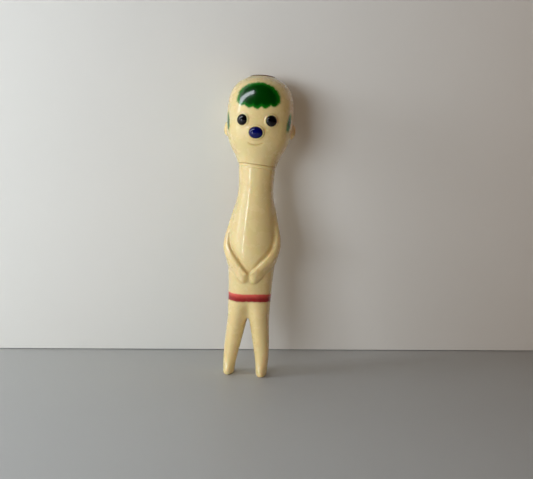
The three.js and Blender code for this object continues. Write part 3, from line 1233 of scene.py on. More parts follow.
@dataclass(frozen=True)
class GlossFinish:
    """A highly polished plastic, as on a snap-in bead."""

    name: str
    color: Color
    deep: Color
    roughness: float = 0.05
    smear_dulling: float = 0.1
    scratch_dulling: float = 0.2
    relief_strength: float = 0.25
    relief: float = mm(0.03)
    refraction: float = 1.38
    coat: float = 0.25
    coat_roughness: float = 0.03

    def material(self, effects: Effects) -> bpy.types.Material:
        """Builds the material.

        Args:
            effects: The shared node groups.

        Returns:
            The material.
        """
        material, board, shader = new_material(self.name)
        place, *_ = board.millimetres()
        marks = effects.marks(board, place, grain=0.3, amount=0.8)
        board.feed(shader.inputs["Base Color"], board.mix(marks.mottle, self.deep, self.color))
        dulled = board.scaled(marks.smear, self.smear_dulling, self.roughness)
        dulled = board.scaled(marks.scratch, self.scratch_dulling, dulled)
        board.feed(shader.inputs["Roughness"], dulled)
        board.feed(shader.inputs["Normal"], board.bump(marks.height, self.relief_strength, self.relief))
        shader.inputs["IOR"].default_value = self.refraction
        shader.inputs["Coat Weight"].default_value = self.coat
        shader.inputs["Coat Roughness"].default_value = self.coat_roughness
        return material


@dataclass(frozen=True)
class SatinFinish:
    """A plain moulded plastic with a satin surface, rubbed lighter in uneven patches."""

    name: str
    color: Color
    rubbed: Color
    roughness: float = 0.42
    smear_wear: float = 0.35
    mottle_wear: float = 0.3
    smear_dulling: float = 0.12
    scratch_dulling: float = 0.15
    relief_strength: float = 0.5
    relief: float = mm(0.12)

    def material(self, effects: Effects) -> bpy.types.Material:
        """Builds the material.

        Args:
            effects: The shared node groups.

        Returns:
            The material.
        """
        material, board, shader = new_material(self.name)
        place, *_ = board.millimetres()
        marks = effects.marks(board, place, grain=2.0, amount=1.0)
        wear = board.scaled(marks.smear, self.smear_wear, board.times(marks.mottle, self.mottle_wear))
        board.feed(shader.inputs["Base Color"], board.mix(wear, self.color, self.rubbed))
        dulled = board.scaled(marks.smear, self.smear_dulling, self.roughness)
        dulled = board.scaled(marks.scratch, self.scratch_dulling, dulled)
        board.feed(shader.inputs["Roughness"], dulled)
        board.feed(shader.inputs["Normal"], board.bump(marks.height, self.relief_strength, self.relief))
        return material


@dataclass(frozen=True)
class BackdropFinish:
    """The matt paint of the studio's wall or floor."""

    name: str
    color: Color
    shade: Color
    roughness: float = 0.85
    relief: float = mm(0.05)
    seen_from_behind: bool = True
    cloud: Grain = Grain(0.006, 4.0, 0.6)
    nap: Grain = Grain(0.5, 3.0, 0.6)
    nap_strength: float = 0.35

    def material(self) -> bpy.types.Material:
        """Builds the material, clear from behind where the backdrop mustn't hide the figure.

        Returns:
            The material.
        """
        material, board, shader = new_material(self.name)
        place, *_ = board.millimetres()
        color = board.mix(board.noise(place, self.cloud), self.color, self.shade)
        board.feed(shader.inputs["Base Color"], color)
        shader.inputs["Roughness"].default_value = self.roughness
        bump = board.bump(board.noise(place, self.nap), self.nap_strength, self.relief)
        board.feed(shader.inputs["Normal"], bump)
        if not self.seen_from_behind:
            clear = board.add("ShaderNodeBsdfTransparent").outputs[0]
            behind = board.add("ShaderNodeNewGeometry").outputs["Backfacing"]
            choice = board.add("ShaderNodeMixShader")
            for target, value in zip(choice.inputs, (behind, shader.outputs[0], clear)):
                board.feed(target, value)
            board.feed(board.tree.nodes["Material Output"].inputs["Surface"], choice.outputs[0])
        return material


# The figure


@dataclass(frozen=True)
class NeckSeam:
    """The seam that the head turns on. Its axis leans to the figure's left."""

    height: float = mm(198)
    slant: float = math.radians(4)
    gap: float = mm(0.14)
    neck_radius: float = mm(17.4)
    rim_round: float = mm(0.22)
    rim_width: float = mm(2.8)
    # How far the painted amber shade reaches along the rims beside the seam
    seam_shade_reach: float = mm(0.45)
    seam_shade_limit: float = 2.5
    groove: float = mm(0.6)
    groove_depth: float = mm(0.38)
    groove_cuts: int = 3
    neck_reach: float = mm(9)
    hole: float = mm(10.2)
    wall: float = mm(2.2)

    def frame(self) -> Matrix:
        """Gives the seam's own frame, with +Z along the joint's axis."""
        return Matrix.Translation((0, 0, self.height)) @ Matrix.Rotation(self.slant, 4, "Y")

    def axis(self) -> Vector:
        """Gives the joint's axis, which points up."""
        return self.frame().to_3x3() @ UP

    def level(self, height: float) -> Vector:
        """Gives the point of the joint's axis at a height over the seam."""
        return self.frame() @ Vector((0, 0, height))

    def moved(self, ring: RingMove) -> Move:
        """Makes a move that changes a point's radius and height in the seam's frame.

        Args:
            ring: Gives the new radius and height from the old ones.

        Returns:
            The move on points of the figure.
        """
        seam = self.frame()
        back = seam.inverted()

        def move(point: Vector) -> Vector:
            """Moves one point.

            Args:
                point: The point in the figure's frame.

            Returns:
                Its new place there.
            """
            local = back @ point
            radius = math.hypot(local.x, local.y)
            new_radius, height = ring(radius, local.z)
            scale = new_radius / radius
            return seam @ Vector((local.x * scale, local.y * scale, height))

        return move

    def turn_in(self, edit: Editing, way: int) -> None:
        """Shapes an open neck: a rounded rim, a flat shelf, its hole and the shelf's inside.

        Args:
            edit: The skin, with the neck's open edge selected, a rim's rounding short of the seam.
            way: 1 for a neck that ends upwards and -1 for one that ends downwards.
        """
        face = -way * self.gap / 2
        base = face - way * self.rim_round
        step = 30
        for degrees in range(step, 90 + step, step):
            turn, before = math.radians(degrees), math.radians(degrees - step)
            inward = self.rim_round * (math.cos(turn) - math.cos(before))
            height = base + way * self.rim_round * math.sin(turn)
            edit.extend(self.moved(lambda radius, _: (radius + inward, height)))
        edit.extend(self.moved(lambda radius, _: (self.hole, face)))
        inside = face - way * self.wall
        edit.extend(self.moved(lambda radius, _: (self.hole, inside)))
        edit.extend(self.moved(lambda radius, _: (self.neck_radius - self.wall, inside)))

    def amber_and_painted_shade(self, piece: bpy.types.Object) -> None:
        """Paints amber shade on the rim beside the seam, by marking it in the crease mask.

        Args:
            piece: The skin, with its crease attribute.
        """
        back = self.frame().inverted()
        marks = piece.data.attributes["crease"].data
        for vertex in piece.data.vertices:
            away = abs((back @ vertex.co).z) / self.seam_shade_reach
            if away < self.seam_shade_limit:
                marks[vertex.index].value = max(marks[vertex.index].value, math.exp(-away * away))


SEAM = NeckSeam()


@dataclass
class BodySkin:
    """The torso, relief arms, legs and feet, moulded as one hollow skin."""

    leg_length: float = mm(56)
    torso_length: float = mm(142)
    hip_rise: float = mm(24)
    crotch_turn: float = 144.0
    torso_sides: int = 16
    inner_sides: int = 4
    sole_inset: float = mm(1.3)
    sole_insets: int = 2
    cage_swell: float = mm(0.14)
    arm_hem: float = 0.45
    arm_hem_end: float = 0.25
    arm_softness: float = 0.62
    arm_sides: int = 16
    arm_rings: int = 33
    crease_start: float = 3.1
    crease_end: float = 8.4
    crease_steps: int = 80
    crease_inset: float = 0.98
    crease_width: float = mm(1.6)
    crease_depth: float = mm(1.3)
    crease_spread: int = 4
    crease_bend: float = 0.11
    hand_share: float = 0.29
    hand_relief: float = mm(3.6)
    thumb_radius: float = mm(1.7)
    thumb_taper: float = 0.12
    thumb_root: tuple[float, float, float] = (0.032, 72, 0.7)
    thumb_tip: tuple[float, float, float] = (0.006, 83, 0.9)
    thumb_steps: int = 14
    thumb_sides: int = 20
    voxel: float = mm(0.6)
    smoothing: int = 9
    last_smoothing: int = 2
    elbow_height: float = mm(124)
    elbow_smoothing: int = 10
    shoulder_height: float = mm(134)
    shoulder_smoothing: int = 40
    inner_floor: float = mm(81)
    inner_top: float = 0.94
    sharp: float = 50
    torso: Loft = field(init=False)
    leg: Loft = field(init=False)

    def __post_init__(self) -> None:
        """Sets the stations of the torso and of the left leg."""
        torso = [
            (1.04, 17.4, 17.4, 0), (0.99, 17.4, 17.4, 0), (0.92, 16.7, 16.7, 0),
            (0.85, 16.2, 16.2, 0), (0.76, 17.5, 16.9, 0), (0.65, 20.1, 18.2, 0.4),
            (0.55, 21.9, 19.5, 0), (0.44, 22.8, 20.4, -0.7), (0.33, 21.8, 19.5, -0.4),
            (0.23, 20.8, 18.2, 0.3), (0.13, 20.3, 17.3, 0.8), (0.05, 19.7, 15.6, 0.8),
            (0, 19.5, 14.2, 0.8),
        ]
        leg = [
            (80, 10.5, 15.4, 9.9, 0.8), (70, 10.5, 15.4, 10, 0.9), (56, 9.6, 13, 10.1, 0.8),
            (44.8, 8.9, 10.8, 11.4, 0.4), (32.5, 8, 9.2, 13.1, 0.2), (21.3, 7.05, 8.1, 14.5, 0),
            (12.3, 6.1, 7.8, 15.3, -0.64), (6.2, 5.4, 10.6, 15.5, -1.6), (2.5, 5.4, 11.6, 15.6, -1.6),
            (0, 4.5, 10.7, 15.6, -1.6),
        ]
        stations = []
        for share, wide, deep, y in torso:
            stations.append(Station(self.torso_at(share), mm(wide), mm(deep), 0, mm(y)))
        self.torso = Loft(stations)
        self.leg = Loft([Station(*map(mm, station)) for station in leg])

    def torso_at(self, share: float) -> float:
        """Gives the height at a share of the torso."""
        return self.leg_length + share * self.torso_length

    def crotch(self) -> float:
        """Gives a height just above the level where the legs part."""
        return self.leg_length + mm(0.01)

    def at_crotch(self, place: Vector) -> bool:
        """Tells whether a corner lies on the line between the legs."""
        return place.z < self.crotch() and abs(place.x) < TOUCHING

    def half_ring(self, height: float) -> list[Vector]:
        """Gives the left half of a section, or a whole section of the left leg below the crotch.

        Args:
            height: The section's height.

        Returns:
            Points from the back round the side to the front, then the inner side back again.
        """
        trunk = self.torso.at(max(height, self.leg_length))
        lobe = self.leg.at(height)
        parted = height < self.leg_length - TOUCHING
        share = clamp((self.leg_length + self.hip_rise - height) / self.hip_rise, 0, 1)
        draw = share * share * (3 - 2 * share)
        ring = []
        for k in range(self.torso_sides + 1):
            along = k / self.torso_sides
            outer = trunk.point(self.cage_swell, 90 - 180 * along)
            ring.append(outer.lerp(lobe.point(self.cage_swell, self.crotch_turn * (1 - 2 * along)), draw))
        if not parted:
            ring[0].x = ring[-1].x = 0
        front, back = ring[-1].copy(), ring[0].copy()
        for k in range(1, self.inner_sides):
            along = k / self.inner_sides
            turn = blend(-self.crotch_turn, self.crotch_turn - 360, along)
            ring.append(lobe.point(self.cage_swell, turn) if parted else front.lerp(back, along))
        for point in ring:
            point.x = max(point.x, 0)
            point.z = height
        return ring

    def ring_at(self, height: float) -> dict[int, Vector]:
        """Gives a section of the torso.

        Args:
            height: The section's height.

        Returns:
            Its points by corner number: the torso's round, then the crotch's.
        """
        half = self.half_ring(height)
        whole = 2 * self.torso_sides
        ring = dict(enumerate(half[: self.torso_sides + 1]))
        for k in range(1, self.torso_sides):
            ring[whole - k] = Vector((-half[k].x, half[k].y, height))
        ring.update({whole + k: point for k, point in enumerate(half[self.torso_sides + 1 :])})
        return ring

    def leg_ring(self, height: float, side: Side) -> dict[int, Vector]:
        """Gives a section of one leg.

        Args:
            height: The section's height.
            side: The leg's side.

        Returns:
            Its points by corner number.
        """
        half = self.half_ring(height)
        whole = 2 * self.torso_sides
        ring = {}
        for k, point in enumerate(half):
            corner = k if k <= self.torso_sides else whole + k - self.torso_sides - 1
            if side is Side.RIGHT and 0 < k < self.torso_sides:
                corner = whole - k
            ring[corner] = Vector((point.x * side.value, point.y, height))
        return ring

    def model_trunk(self) -> bpy.types.Object:
        """Extrudes the torso down to the crotch, parts it there and extrudes each leg.

        Returns:
            The trunk.
        """
        whole = 2 * self.torso_sides
        heights = self.torso.heights(self.torso.stations[0].z, self.leg_length, CAGE_STEPS)
        rings = [self.ring_at(z) for z in heights]
        trunk = start_ring("trunk", [rings[0][k] for k in range(whole)])
        crotch = self.crotch()
        with Editing(trunk) as edit:
            edit.select_all()
            for ring in rings[1:]:
                edit.extend_to(ring)
            edit.select(self.at_crotch)
            bpy.ops.mesh.vert_connect()
            edit.select(self.at_crotch)
            bpy.ops.mesh.subdivide(number_cuts=self.inner_sides - 1)
            self.number_crotch(edit)
            for side in Side:
                edit.select_faces(lambda middle: middle.z < crotch and middle.x * side.value > 0)
                for z in self.leg.heights(self.leg_length, 0, CAGE_STEPS)[1:]:
                    edit.extend_to(self.leg_ring(z, side))
                for _ in range(self.sole_insets):
                    bpy.ops.mesh.inset(thickness=self.sole_inset)
        drop_numbers(trunk)
        face_outward(trunk)
        subdivide(trunk, CAGE_LEVELS)
        return trunk

    def number_crotch(self, edit: Editing) -> None:
        """Numbers the new corners of the crotch from the front to the back.

        Args:
            edit: The trunk, with its new corners.
        """
        mesh = edit.mesh()
        number = mesh.verts.layers.int["corner"]
        line = [corner for corner in mesh.verts if self.at_crotch(corner.co)]
        line.sort(key=lambda corner: corner.co.y)
        for k, corner in enumerate(line[1:-1]):
            corner[number] = 2 * self.torso_sides + k
        edit.update()

    def over_torso(self, share: float, turn: float, lift: float) -> tuple[Vector, Vector]:
        """Gives a point raised off the torso's skin.

        Args:
            share: The share of the torso's length.
            turn: The turn from the side to the front, in degrees.
            lift: How far the point stands off the skin.

        Returns:
            The point, and the skin's outward direction there.
        """
        section = self.torso.at(self.torso_at(share))
        point = section.point(0, -turn)
        steepness = ((point.x - section.x) / section.wide**2, (point.y - section.y) / section.deep**2)
        outward = Vector((*steepness, 0))
        outward.normalize()
        return point + outward * lift, outward

    def arm_stations(self) -> list[tuple[float, float, float, float, float]]:
        """Gives the left arm's stations, from the shoulder to the fingertips.

        Returns:
            For each, its share of the torso, its turn, half width, half thickness and relief.
        """
        table = [
            (0.795, -9, 3.6, 3.2, -1.6), (0.75, -8, 5.6, 4.6, 0.7), (0.68, -6, 6.6, 5.2, 1.9),
            (0.6, -2, 7, 5.2, 2.9), (0.515, 5, 7.2, 5.2, 4.5), (0.445, 17, 7.2, 5.2, 5),
            (0.39, 36, 6.7, 5.2, 4.2), (0.355, 52, 5.8, 4.8, 3.6), (0.325, 64, 4.9, 4.6, 3.4),
            (0.29, 73, 5.6, 4.6, 3.6), (0.258, 76, 4.6, 4.2, 3.1), (0.237, 77, 2.6, 3, 1.4),
        ]
        return [(share, turn, mm(wide), mm(thick), mm(relief)) for share, turn, wide, thick, relief in table]

    def arm_frame(self, place: float) -> tuple[Vector, Vector, Vector, float, float, float]:
        """Gives the left arm's frame at a place counted in stations.

        Args:
            place: The place.

        Returns:
            The middle, the direction across to the arm's lower side, the outward direction, the half
            width, the half thickness and how far the middle lies under the torso's skin.
        """
        nudge = 0.05
        stations = self.arm_stations()
        last = len(stations) - 1
        spine = [self.over_torso(share, turn, relief - thick) for share, turn, _, thick, relief in stations]

        def line(at: float) -> Vector:
            """Gives a point of the arm's middle line."""
            at = clamp(at, 0, last)
            return Vector(value_at([point[axis] for point, _ in spine], at) for axis in range(3))

        near = min(int(place), last - 1)
        along = (line(place + nudge) - line(place - nudge)).normalized()
        outward = spine[near][1].lerp(spine[near + 1][1], place - near)
        across = outward.cross(along).normalized()
        wide, thick, relief = (value_at([station[k] for station in stations], place) for k in (2, 3, 4))
        return line(place), across, along.cross(across), wide, thick, thick - relief

    def model_arm(self) -> bpy.types.Object:
        """Extrudes the left arm over the torso, with a lower side that runs out into the skin.

        Returns:
            The arm.
        """
        last = len(self.arm_stations()) - 1
        rings = []
        for i in range(self.arm_rings + 1):
            middle, across, out, wide, thick, _ = self.arm_frame(i / self.arm_rings * last)
            fade = min(1, (1 - i / self.arm_rings) / self.arm_hem_end)
            ring = []
            for k in range(self.arm_sides):
                turn = 2 * math.pi * k / self.arm_sides
                lower = max(math.cos(turn), 0) * fade
                reach = (wide + self.cage_swell) * (1 + self.arm_hem * lower)
                lift = (thick + self.cage_swell) * (1 - self.arm_softness * lower)
                ring.append(middle + across * reach * math.cos(turn) + out * lift * math.sin(turn))
            rings.append(ring)
        arm = sweep("arm", rings)
        subdivide(arm, CAGE_LEVELS)
        return arm

    def arm_crease(self, side: Side) -> list[Vector]:
        """Gives the line where an arm's upper side meets the torso.

        Args:
            side: The arm's side.

        Returns:
            Closely spaced points from the shoulder to the wrist.
        """
        points = []
        for i in range(self.crease_steps + 1):
            place = blend(self.crease_start, self.crease_end, i / self.crease_steps)
            middle, across, out, wide, _, depth = self.arm_frame(place)
            point = middle - across * wide * self.crease_inset + out * depth
            points.append(Vector((point.x * side.value, point.y, point.z)))
        return points

    def model_thumb(self) -> bpy.types.Object:
        """Extrudes the left thumb, which lies along the upper edge of the hand.

        Returns:
            The thumb.
        """
        ends = []
        for above_hand, turn, sunk in (self.thumb_root, self.thumb_tip):
            lift = self.hand_relief - self.thumb_radius * sunk
            ends.append(self.over_torso(self.hand_share + above_hand, turn, lift)[0])
        root, tip = ends
        straight = (tip - root).length * 0.5
        profile = []
        for i in range(1, self.thumb_steps):
            turn = math.pi * i / self.thumb_steps
            swell = 1 - self.thumb_taper * i / self.thumb_steps
            height = -self.thumb_radius * math.cos(turn)
            if abs(height) > TOUCHING:
                height += math.copysign(straight, height)
            profile.append((self.thumb_radius * swell * math.sin(turn), height))
        thumb = sweep("thumb", round_rings(profile, self.thumb_sides))
        turned = (tip - root).to_track_quat("Z", "Y").to_matrix().to_4x4()
        place_at(thumb, Matrix.Translation(root.lerp(tip, 0.5)) @ turned)
        return thumb

    def groove_neck(self, skin: bpy.types.Object) -> None:
        """Presses the shallow groove into the neck, a rim's width below the seam.

        Args:
            skin: The body's skin.
        """
        spacing = SEAM.groove * 0.6
        half_width = spacing * 1.3
        with Editing(skin) as edit:
            for step in range(-SEAM.groove_cuts, SEAM.groove_cuts + 1):
                edit.select(lambda place: place.z > SEAM.height - SEAM.neck_reach)
                edit.cut(SEAM.level(step * spacing - SEAM.rim_width), SEAM.axis())

            def press(radius: float, height: float) -> tuple[float, float]:
                """Presses one point inwards."""
                away = (height + SEAM.rim_width) / half_width
                return radius - SEAM.groove_depth * math.exp(-away * away), height

            edit.select(lambda place: place.z > SEAM.height - SEAM.neck_reach)
            edit.reshape(SEAM.moved(press))

    def hollow_out(self, skin: bpy.types.Object) -> None:
        """Opens the neck, gives it its rim and shelf, and lines the torso inside.

        Args:
            skin: The body's skin.
        """
        with Editing(skin) as edit:
            edit.select_all()
            edit.cut(SEAM.level(-SEAM.gap / 2 - SEAM.rim_round), SEAM.axis(), clear_above=True)
            SEAM.turn_in(edit, 1)
            for z in self.torso.heights(self.torso_at(self.inner_top), self.inner_floor, 1):
                edit.extend(self.torso.at(z).lining(SEAM.wall))
            bpy.ops.mesh.extrude_region_move()
            bpy.ops.mesh.merge(type="CENTER")

    def soften_shoulders(self, skin: bpy.types.Object) -> None:
        """Lets the upper arms run out into the torso, more so towards the shoulders, and levels the soles.

        Args:
            skin: The body's skin.
        """
        parts = ((self.elbow_height, self.elbow_smoothing), (self.shoulder_height, self.shoulder_smoothing))
        with Editing(skin) as edit:
            for height, repeat in parts:
                edit.select(lambda place: place.z > height)
                bpy.ops.mesh.vertices_smooth(factor=0.5, repeat=repeat)
            edit.select(lambda place: place.z < 0)
            edit.reshape(lambda place: Vector((place.x, place.y, 0)))

    def build(self, material: bpy.types.Material) -> None:
        """Models and dresses the body.

        Args:
            material: The skin's vinyl.
        """
        arm = join("arm", self.model_arm(), self.model_thumb())
        finish_with(arm, "MIRROR", use_mirror_merge=False)
        skin = join("body_skin", self.model_trunk(), arm)
        melt(skin, self.voxel, self.smoothing)
        for side in Side:
            press_line(skin, self.arm_crease(side), self.crease_width, self.crease_depth)
        soften(skin, self.last_smoothing)
        self.soften_shoulders(skin)
        # Painted shade: the hollows' mask darkens the vinyl towards amber in the creases
        mark_creases(skin, self.crease_spread, self.crease_bend)
        self.groove_neck(skin)
        self.hollow_out(skin)
        # Painted shade: amber along the rim beside the seam
        SEAM.amber_and_painted_shade(skin)
        dress(skin, material, "vinyl_skin", Carrier.BODY, "body_shell", self.sharp)


@dataclass
class HeadSkin:
    """The hollow head with its ears, bead sockets, mouth line and open crown."""

    length: float = mm(82)
    crown_seat: float = mm(80.1)
    plug_hole: float = mm(8.9)
    crown_round: float = mm(0.4)
    sides: int = 40
    cage_swell: float = mm(0.1)
    eye_radius: float = mm(5)
    eye_rise: float = mm(3.6)
    eye_height: float = mm(38.5)
    eye_spacing: float = mm(26)
    nose_half_width: float = mm(6.3)
    nose_half_height: float = mm(5.3)
    nose_rise: float = mm(4.05)
    nose_height: float = mm(27.5)
    lip_radius: float = mm(0.75)
    lip_reach: float = mm(0.5)
    lip_sunk: float = mm(0.15)
    ear_height: float = mm(32.5)
    ear_length: float = mm(15)
    ear_width: float = mm(9.3)
    ear_reach: float = mm(3.4)
    ear_tilt: float = math.radians(8)
    ear_back: float = mm(1)
    ear_sunk: float = 0.4
    dish_size: tuple[float, float, float] = (0.62, 0.27, 0.3)
    dish_reach: float = 0.86
    dish_forward: float = mm(0.6)
    dish_lift: float = mm(0.4)
    mouth_height: float = mm(16.5)
    mouth_half_width: float = mm(7)
    mouth_curve: float = mm(2.4)
    mouth_width: float = mm(0.8)
    mouth_depth: float = mm(0.9)
    mouth_steps: int = 60
    crease_spread: int = 3
    crease_bend: float = 0.12
    voxel: float = mm(0.5)
    smoothing: int = 7
    last_smoothing: int = 1
    inner_floor: float = mm(8)
    inner_top_gap: float = mm(0.5)
    sharp: float = 50
    skull: Loft = field(init=False)

    def __post_init__(self) -> None:
        """Sets the skull's stations, with heights above the seam."""
        table = [
            (-0.06, 17.8, 17.8, 0), (0.01, 18.1, 18.1, 0), (0.1, 21.15, 20.95, 0),
            (0.195, 25.6, 25, -0.2), (0.31, 29.3, 28.3, 0.2), (0.44, 30.6, 29.3, 0.8),
            (0.59, 30.8, 30.2, 1.2), (0.73, 29.9, 29.7, 1.4), (0.845, 26.6, 26.4, 1.4),
            (0.925, 20.8, 20.8, 1.3),
        ]
        skull = []
        for share, wide, deep, y in table:
            skull.append(Station(self.length * share, mm(wide), mm(deep), 0, mm(y)))
        for height, radius in ((self.crown_seat, mm(12.6)), (self.length, mm(6.3))):
            skull.append(Station(height, radius, radius, 0, mm(1.2)))
        self.skull = Loft(skull)

    def raised(self, point: Vector) -> Vector:
        """Lifts a point of the skull, counted from the seam, into the figure's frame."""
        return point + UP * SEAM.height

    def face_frame(self, x: float, height: float) -> Matrix:
        """Gives a place on the face, with +Z along the skin's outward normal.

        Args:
            x: The distance from the middle.
            height: The height above the seam.

        Returns:
            The place in the figure's frame.
        """
        step = mm(0.5)
        side = (self.skull.front(x + step, height) - self.skull.front(x - step, height)).normalized()
        up = self.skull.front(x, height + step) - self.skull.front(x, height - step)
        outward = side.cross(up).normalized()
        turned = Matrix((side, outward.cross(side), outward)).transposed().to_4x4()
        return Matrix.Translation(self.raised(self.skull.front(x, height))) @ turned

    def eye_frame(self, side: Side) -> Matrix:
        """Gives an eye's place on the face."""
        return self.face_frame(side.value * self.eye_spacing / 2, self.eye_height)

    def nose_frame(self) -> Matrix:
        """Gives the nose's place on the face."""
        return self.face_frame(0, self.nose_height)

    def model_skull(self) -> bpy.types.Object:
        """Extrudes the skull from below the seam to above the crown.

        Returns:
            The skull.
        """
        turns = [360 * k / self.sides for k in range(self.sides)]
        rings = []
        for height in self.skull.heights(self.skull.stations[0].z, self.length, CAGE_STEPS):
            section = self.skull.at(height)
            rings.append([self.raised(section.point(self.cage_swell, turn)) for turn in turns])
        skull = sweep("skull", rings)
        subdivide(skull, CAGE_LEVELS)
        return skull

    def model_ball(self, name: str, size: Vector, tilt: float, at: Vector) -> bpy.types.Object:
        """Adds a ball, stretches it and tilts it sideways into place.

        Args:
            name: The object's name.
            size: Its three half widths.
            tilt: Its turn about X.
            at: Its middle.

        Returns:
            The stretched ball.
        """
        bpy.ops.object.select_all(action="DESELECT")
        bpy.ops.mesh.primitive_uv_sphere_add(segments=40, ring_count=24, radius=1)
        ball = rename(bpy.context.object, name)
        turned = Matrix.Rotation(tilt, 4, "X") @ Matrix.Diagonal(size).to_4x4()
        place_at(ball, Matrix.Translation(at) @ turned)
        return ball

    def model_ear(self, side: Side) -> bpy.types.Object:
        """Models one ear, a flattened shell with a dished middle.

        Args:
            side: The ear's side.

        Returns:
            The ear, which reaches into the skull.
        """
        reach, width, length = self.ear_reach, self.ear_width, self.ear_length
        section = self.skull.at(self.ear_height)
        height = SEAM.height + self.ear_height
        sunk = reach * self.ear_sunk
        size = Vector((reach + sunk, width / 2, length / 2))
        at = Vector((side.value * (section.wide - sunk), section.y + self.ear_back, height))
        shell = self.model_ball("ear", size, -self.ear_tilt, at)
        dish_size = Vector(whole * share for whole, share in zip((reach, width, length), self.dish_size))
        dish_x = side.value * (section.wide + reach * self.dish_reach)
        dish_at = Vector((dish_x, section.y - self.dish_forward, height + self.dish_lift))
        dish = self.model_ball("ear_dish", dish_size, -self.ear_tilt, dish_at)
        finish_with(shell, "BOOLEAN", operation="DIFFERENCE", object=dish, solver="EXACT")
        bpy.data.objects.remove(dish)
        return shell

    def model_lip(self, place: Matrix, half_width: float, half_height: float) -> bpy.types.Object:
        """Models the soft raised lip that holds a bead.

        Args:
            place: The bead's place on the face.
            half_width: The bead's half width.
            half_height: The bead's half height.

        Returns:
            The lip.
        """
        reach = half_width + self.lip_reach
        bpy.ops.object.select_all(action="DESELECT")
        bpy.ops.mesh.primitive_torus_add(
            major_radius=reach,
            minor_radius=self.lip_radius,
            major_segments=56,
            minor_segments=16,
        )
        lip = rename(bpy.context.object, "lip")
        ratio = (half_height + self.lip_reach) / reach
        place_at(lip, place @ Matrix.Translation((0, 0, -self.lip_sunk)) @ Matrix.Diagonal((1, ratio, 1, 1)))
        return lip

    def mouth_line(self) -> list[Vector]:
        """Gives the smiling line of the mouth on the skin.

        Returns:
            Closely spaced points from side to side.
        """
        points = []
        for i in range(self.mouth_steps + 1):
            share = 2 * i / self.mouth_steps - 1
            height = self.mouth_height + self.mouth_curve * share**2
            points.append(self.raised(self.skull.front(self.mouth_half_width * share, height)))
        return points

    def crown_ring(self, radius: Callable[[float], float], z: float) -> Move:
        """Makes a move to a ring about the crown's middle.

        Args:
            radius: Gives the new distance from the middle from the old one.
            z: The ring's height.

        Returns:
            The move on points of the figure.
        """
        middle = self.skull.at(self.crown_seat).y

        def move(point: Vector) -> Vector:
            """Moves one point.

            Args:
                point: The point in the figure's frame.

            Returns:
                Its new place there.
            """
            away = Vector((point.x, point.y - middle))
            spot = away.normalized() * radius(away.length)
            return Vector((spot.x, spot.y + middle, z))

        return move

    def hollow_out(self, skin: bpy.types.Object) -> None:
        """Opens the neck and the crown, shapes both rims and lines the head inside.

        Args:
            skin: The head's skin.
        """
        seat = SEAM.height + self.crown_seat
        bevel, rest = self.crown_round * 0.3, self.crown_round * 0.7
        with Editing(skin) as edit:
            edit.select_all()
            edit.cut(Vector((0, 0, seat - self.crown_round)), UP, clear_above=True)
            edit.extend(self.crown_ring(lambda radius: radius - bevel, seat - bevel))
            edit.extend(self.crown_ring(lambda radius: radius - rest, seat))
            for z in (seat, seat - SEAM.wall):
                edit.extend(self.crown_ring(lambda radius: self.plug_hole, z))
            edit.select_all()
            edit.cut(SEAM.level(SEAM.gap / 2 + SEAM.rim_round), -SEAM.axis(), clear_above=True)
            SEAM.turn_in(edit, -1)
            top = self.crown_seat - SEAM.wall - self.inner_top_gap
            for height in self.skull.heights(self.inner_floor, top, 1):
                edit.extend(self.skull.at(height).lining(SEAM.wall, SEAM.height))
            edit.select_open_edges()
            bpy.ops.mesh.bridge_edge_loops()

    def build(self, material: bpy.types.Material) -> None:
        """Models and dresses the head.

        Args:
            material: The skin's vinyl.
        """
        lips = [self.model_lip(self.eye_frame(side), self.eye_radius, self.eye_radius) for side in Side]
        lips.append(self.model_lip(self.nose_frame(), self.nose_half_width, self.nose_half_height))
        ears = [self.model_ear(side) for side in Side]
        skin = join("head_skin", self.model_skull(), *ears, *lips)
        melt(skin, self.voxel, self.smoothing)
        press_line(skin, self.mouth_line(), self.mouth_width, self.mouth_depth)
        soften(skin, self.last_smoothing)
        # Painted shade: the hollows' mask darkens the vinyl towards amber in the creases
        mark_creases(skin, self.crease_spread, self.crease_bend)
        self.hollow_out(skin)
        # Painted shade: amber along the rim beside the seam
        SEAM.amber_and_painted_shade(skin)
        dress(skin, material, "vinyl_skin", Carrier.HEAD, "head_shell", self.sharp)


@dataclass
class Bead:
    """A snap-in bead with a domed face, a flat back and a barbed stem."""

    name: str
    node: str
    slot: str
    place: Matrix
    half_width: float
    half_height: float
    rise: float
    back: float = mm(-0.2)
    edge: float = mm(0.5)
    edge_round: float = mm(0.2)
    stem_radius: float = mm(1.6)
    barb_reach: float = mm(0.5)
    barb_top: float = mm(-4.3)
    barb_length: float = mm(1.6)
    sides: int = 72
    dome_rings: int = 20
    sharp: float = 40

    def build(self, material: bpy.types.Material) -> None:
        """Models and dresses the bead.

        Args:
            material: The bead's plastic.
        """
        stem = [
            (self.stem_radius - self.barb_reach, self.barb_top - self.barb_length),
            (self.stem_radius + self.barb_reach, self.barb_top),
            (self.stem_radius, self.barb_top),
            (self.stem_radius, self.back),
        ]
        face = [
            (self.half_width - self.edge_round, self.back),
            (self.half_width, self.back + self.edge_round),
            *dome_profile(self.half_width, self.back + self.edge, self.rise - self.edge, self.dome_rings),
        ]
        ratio = self.half_height / self.half_width
        bead = sweep(self.name, round_rings(stem, self.sides) + round_rings(face, self.sides, ratio))
        place_at(bead, self.place)
        dress(bead, material, self.slot, Carrier.HEAD, self.node, self.sharp)


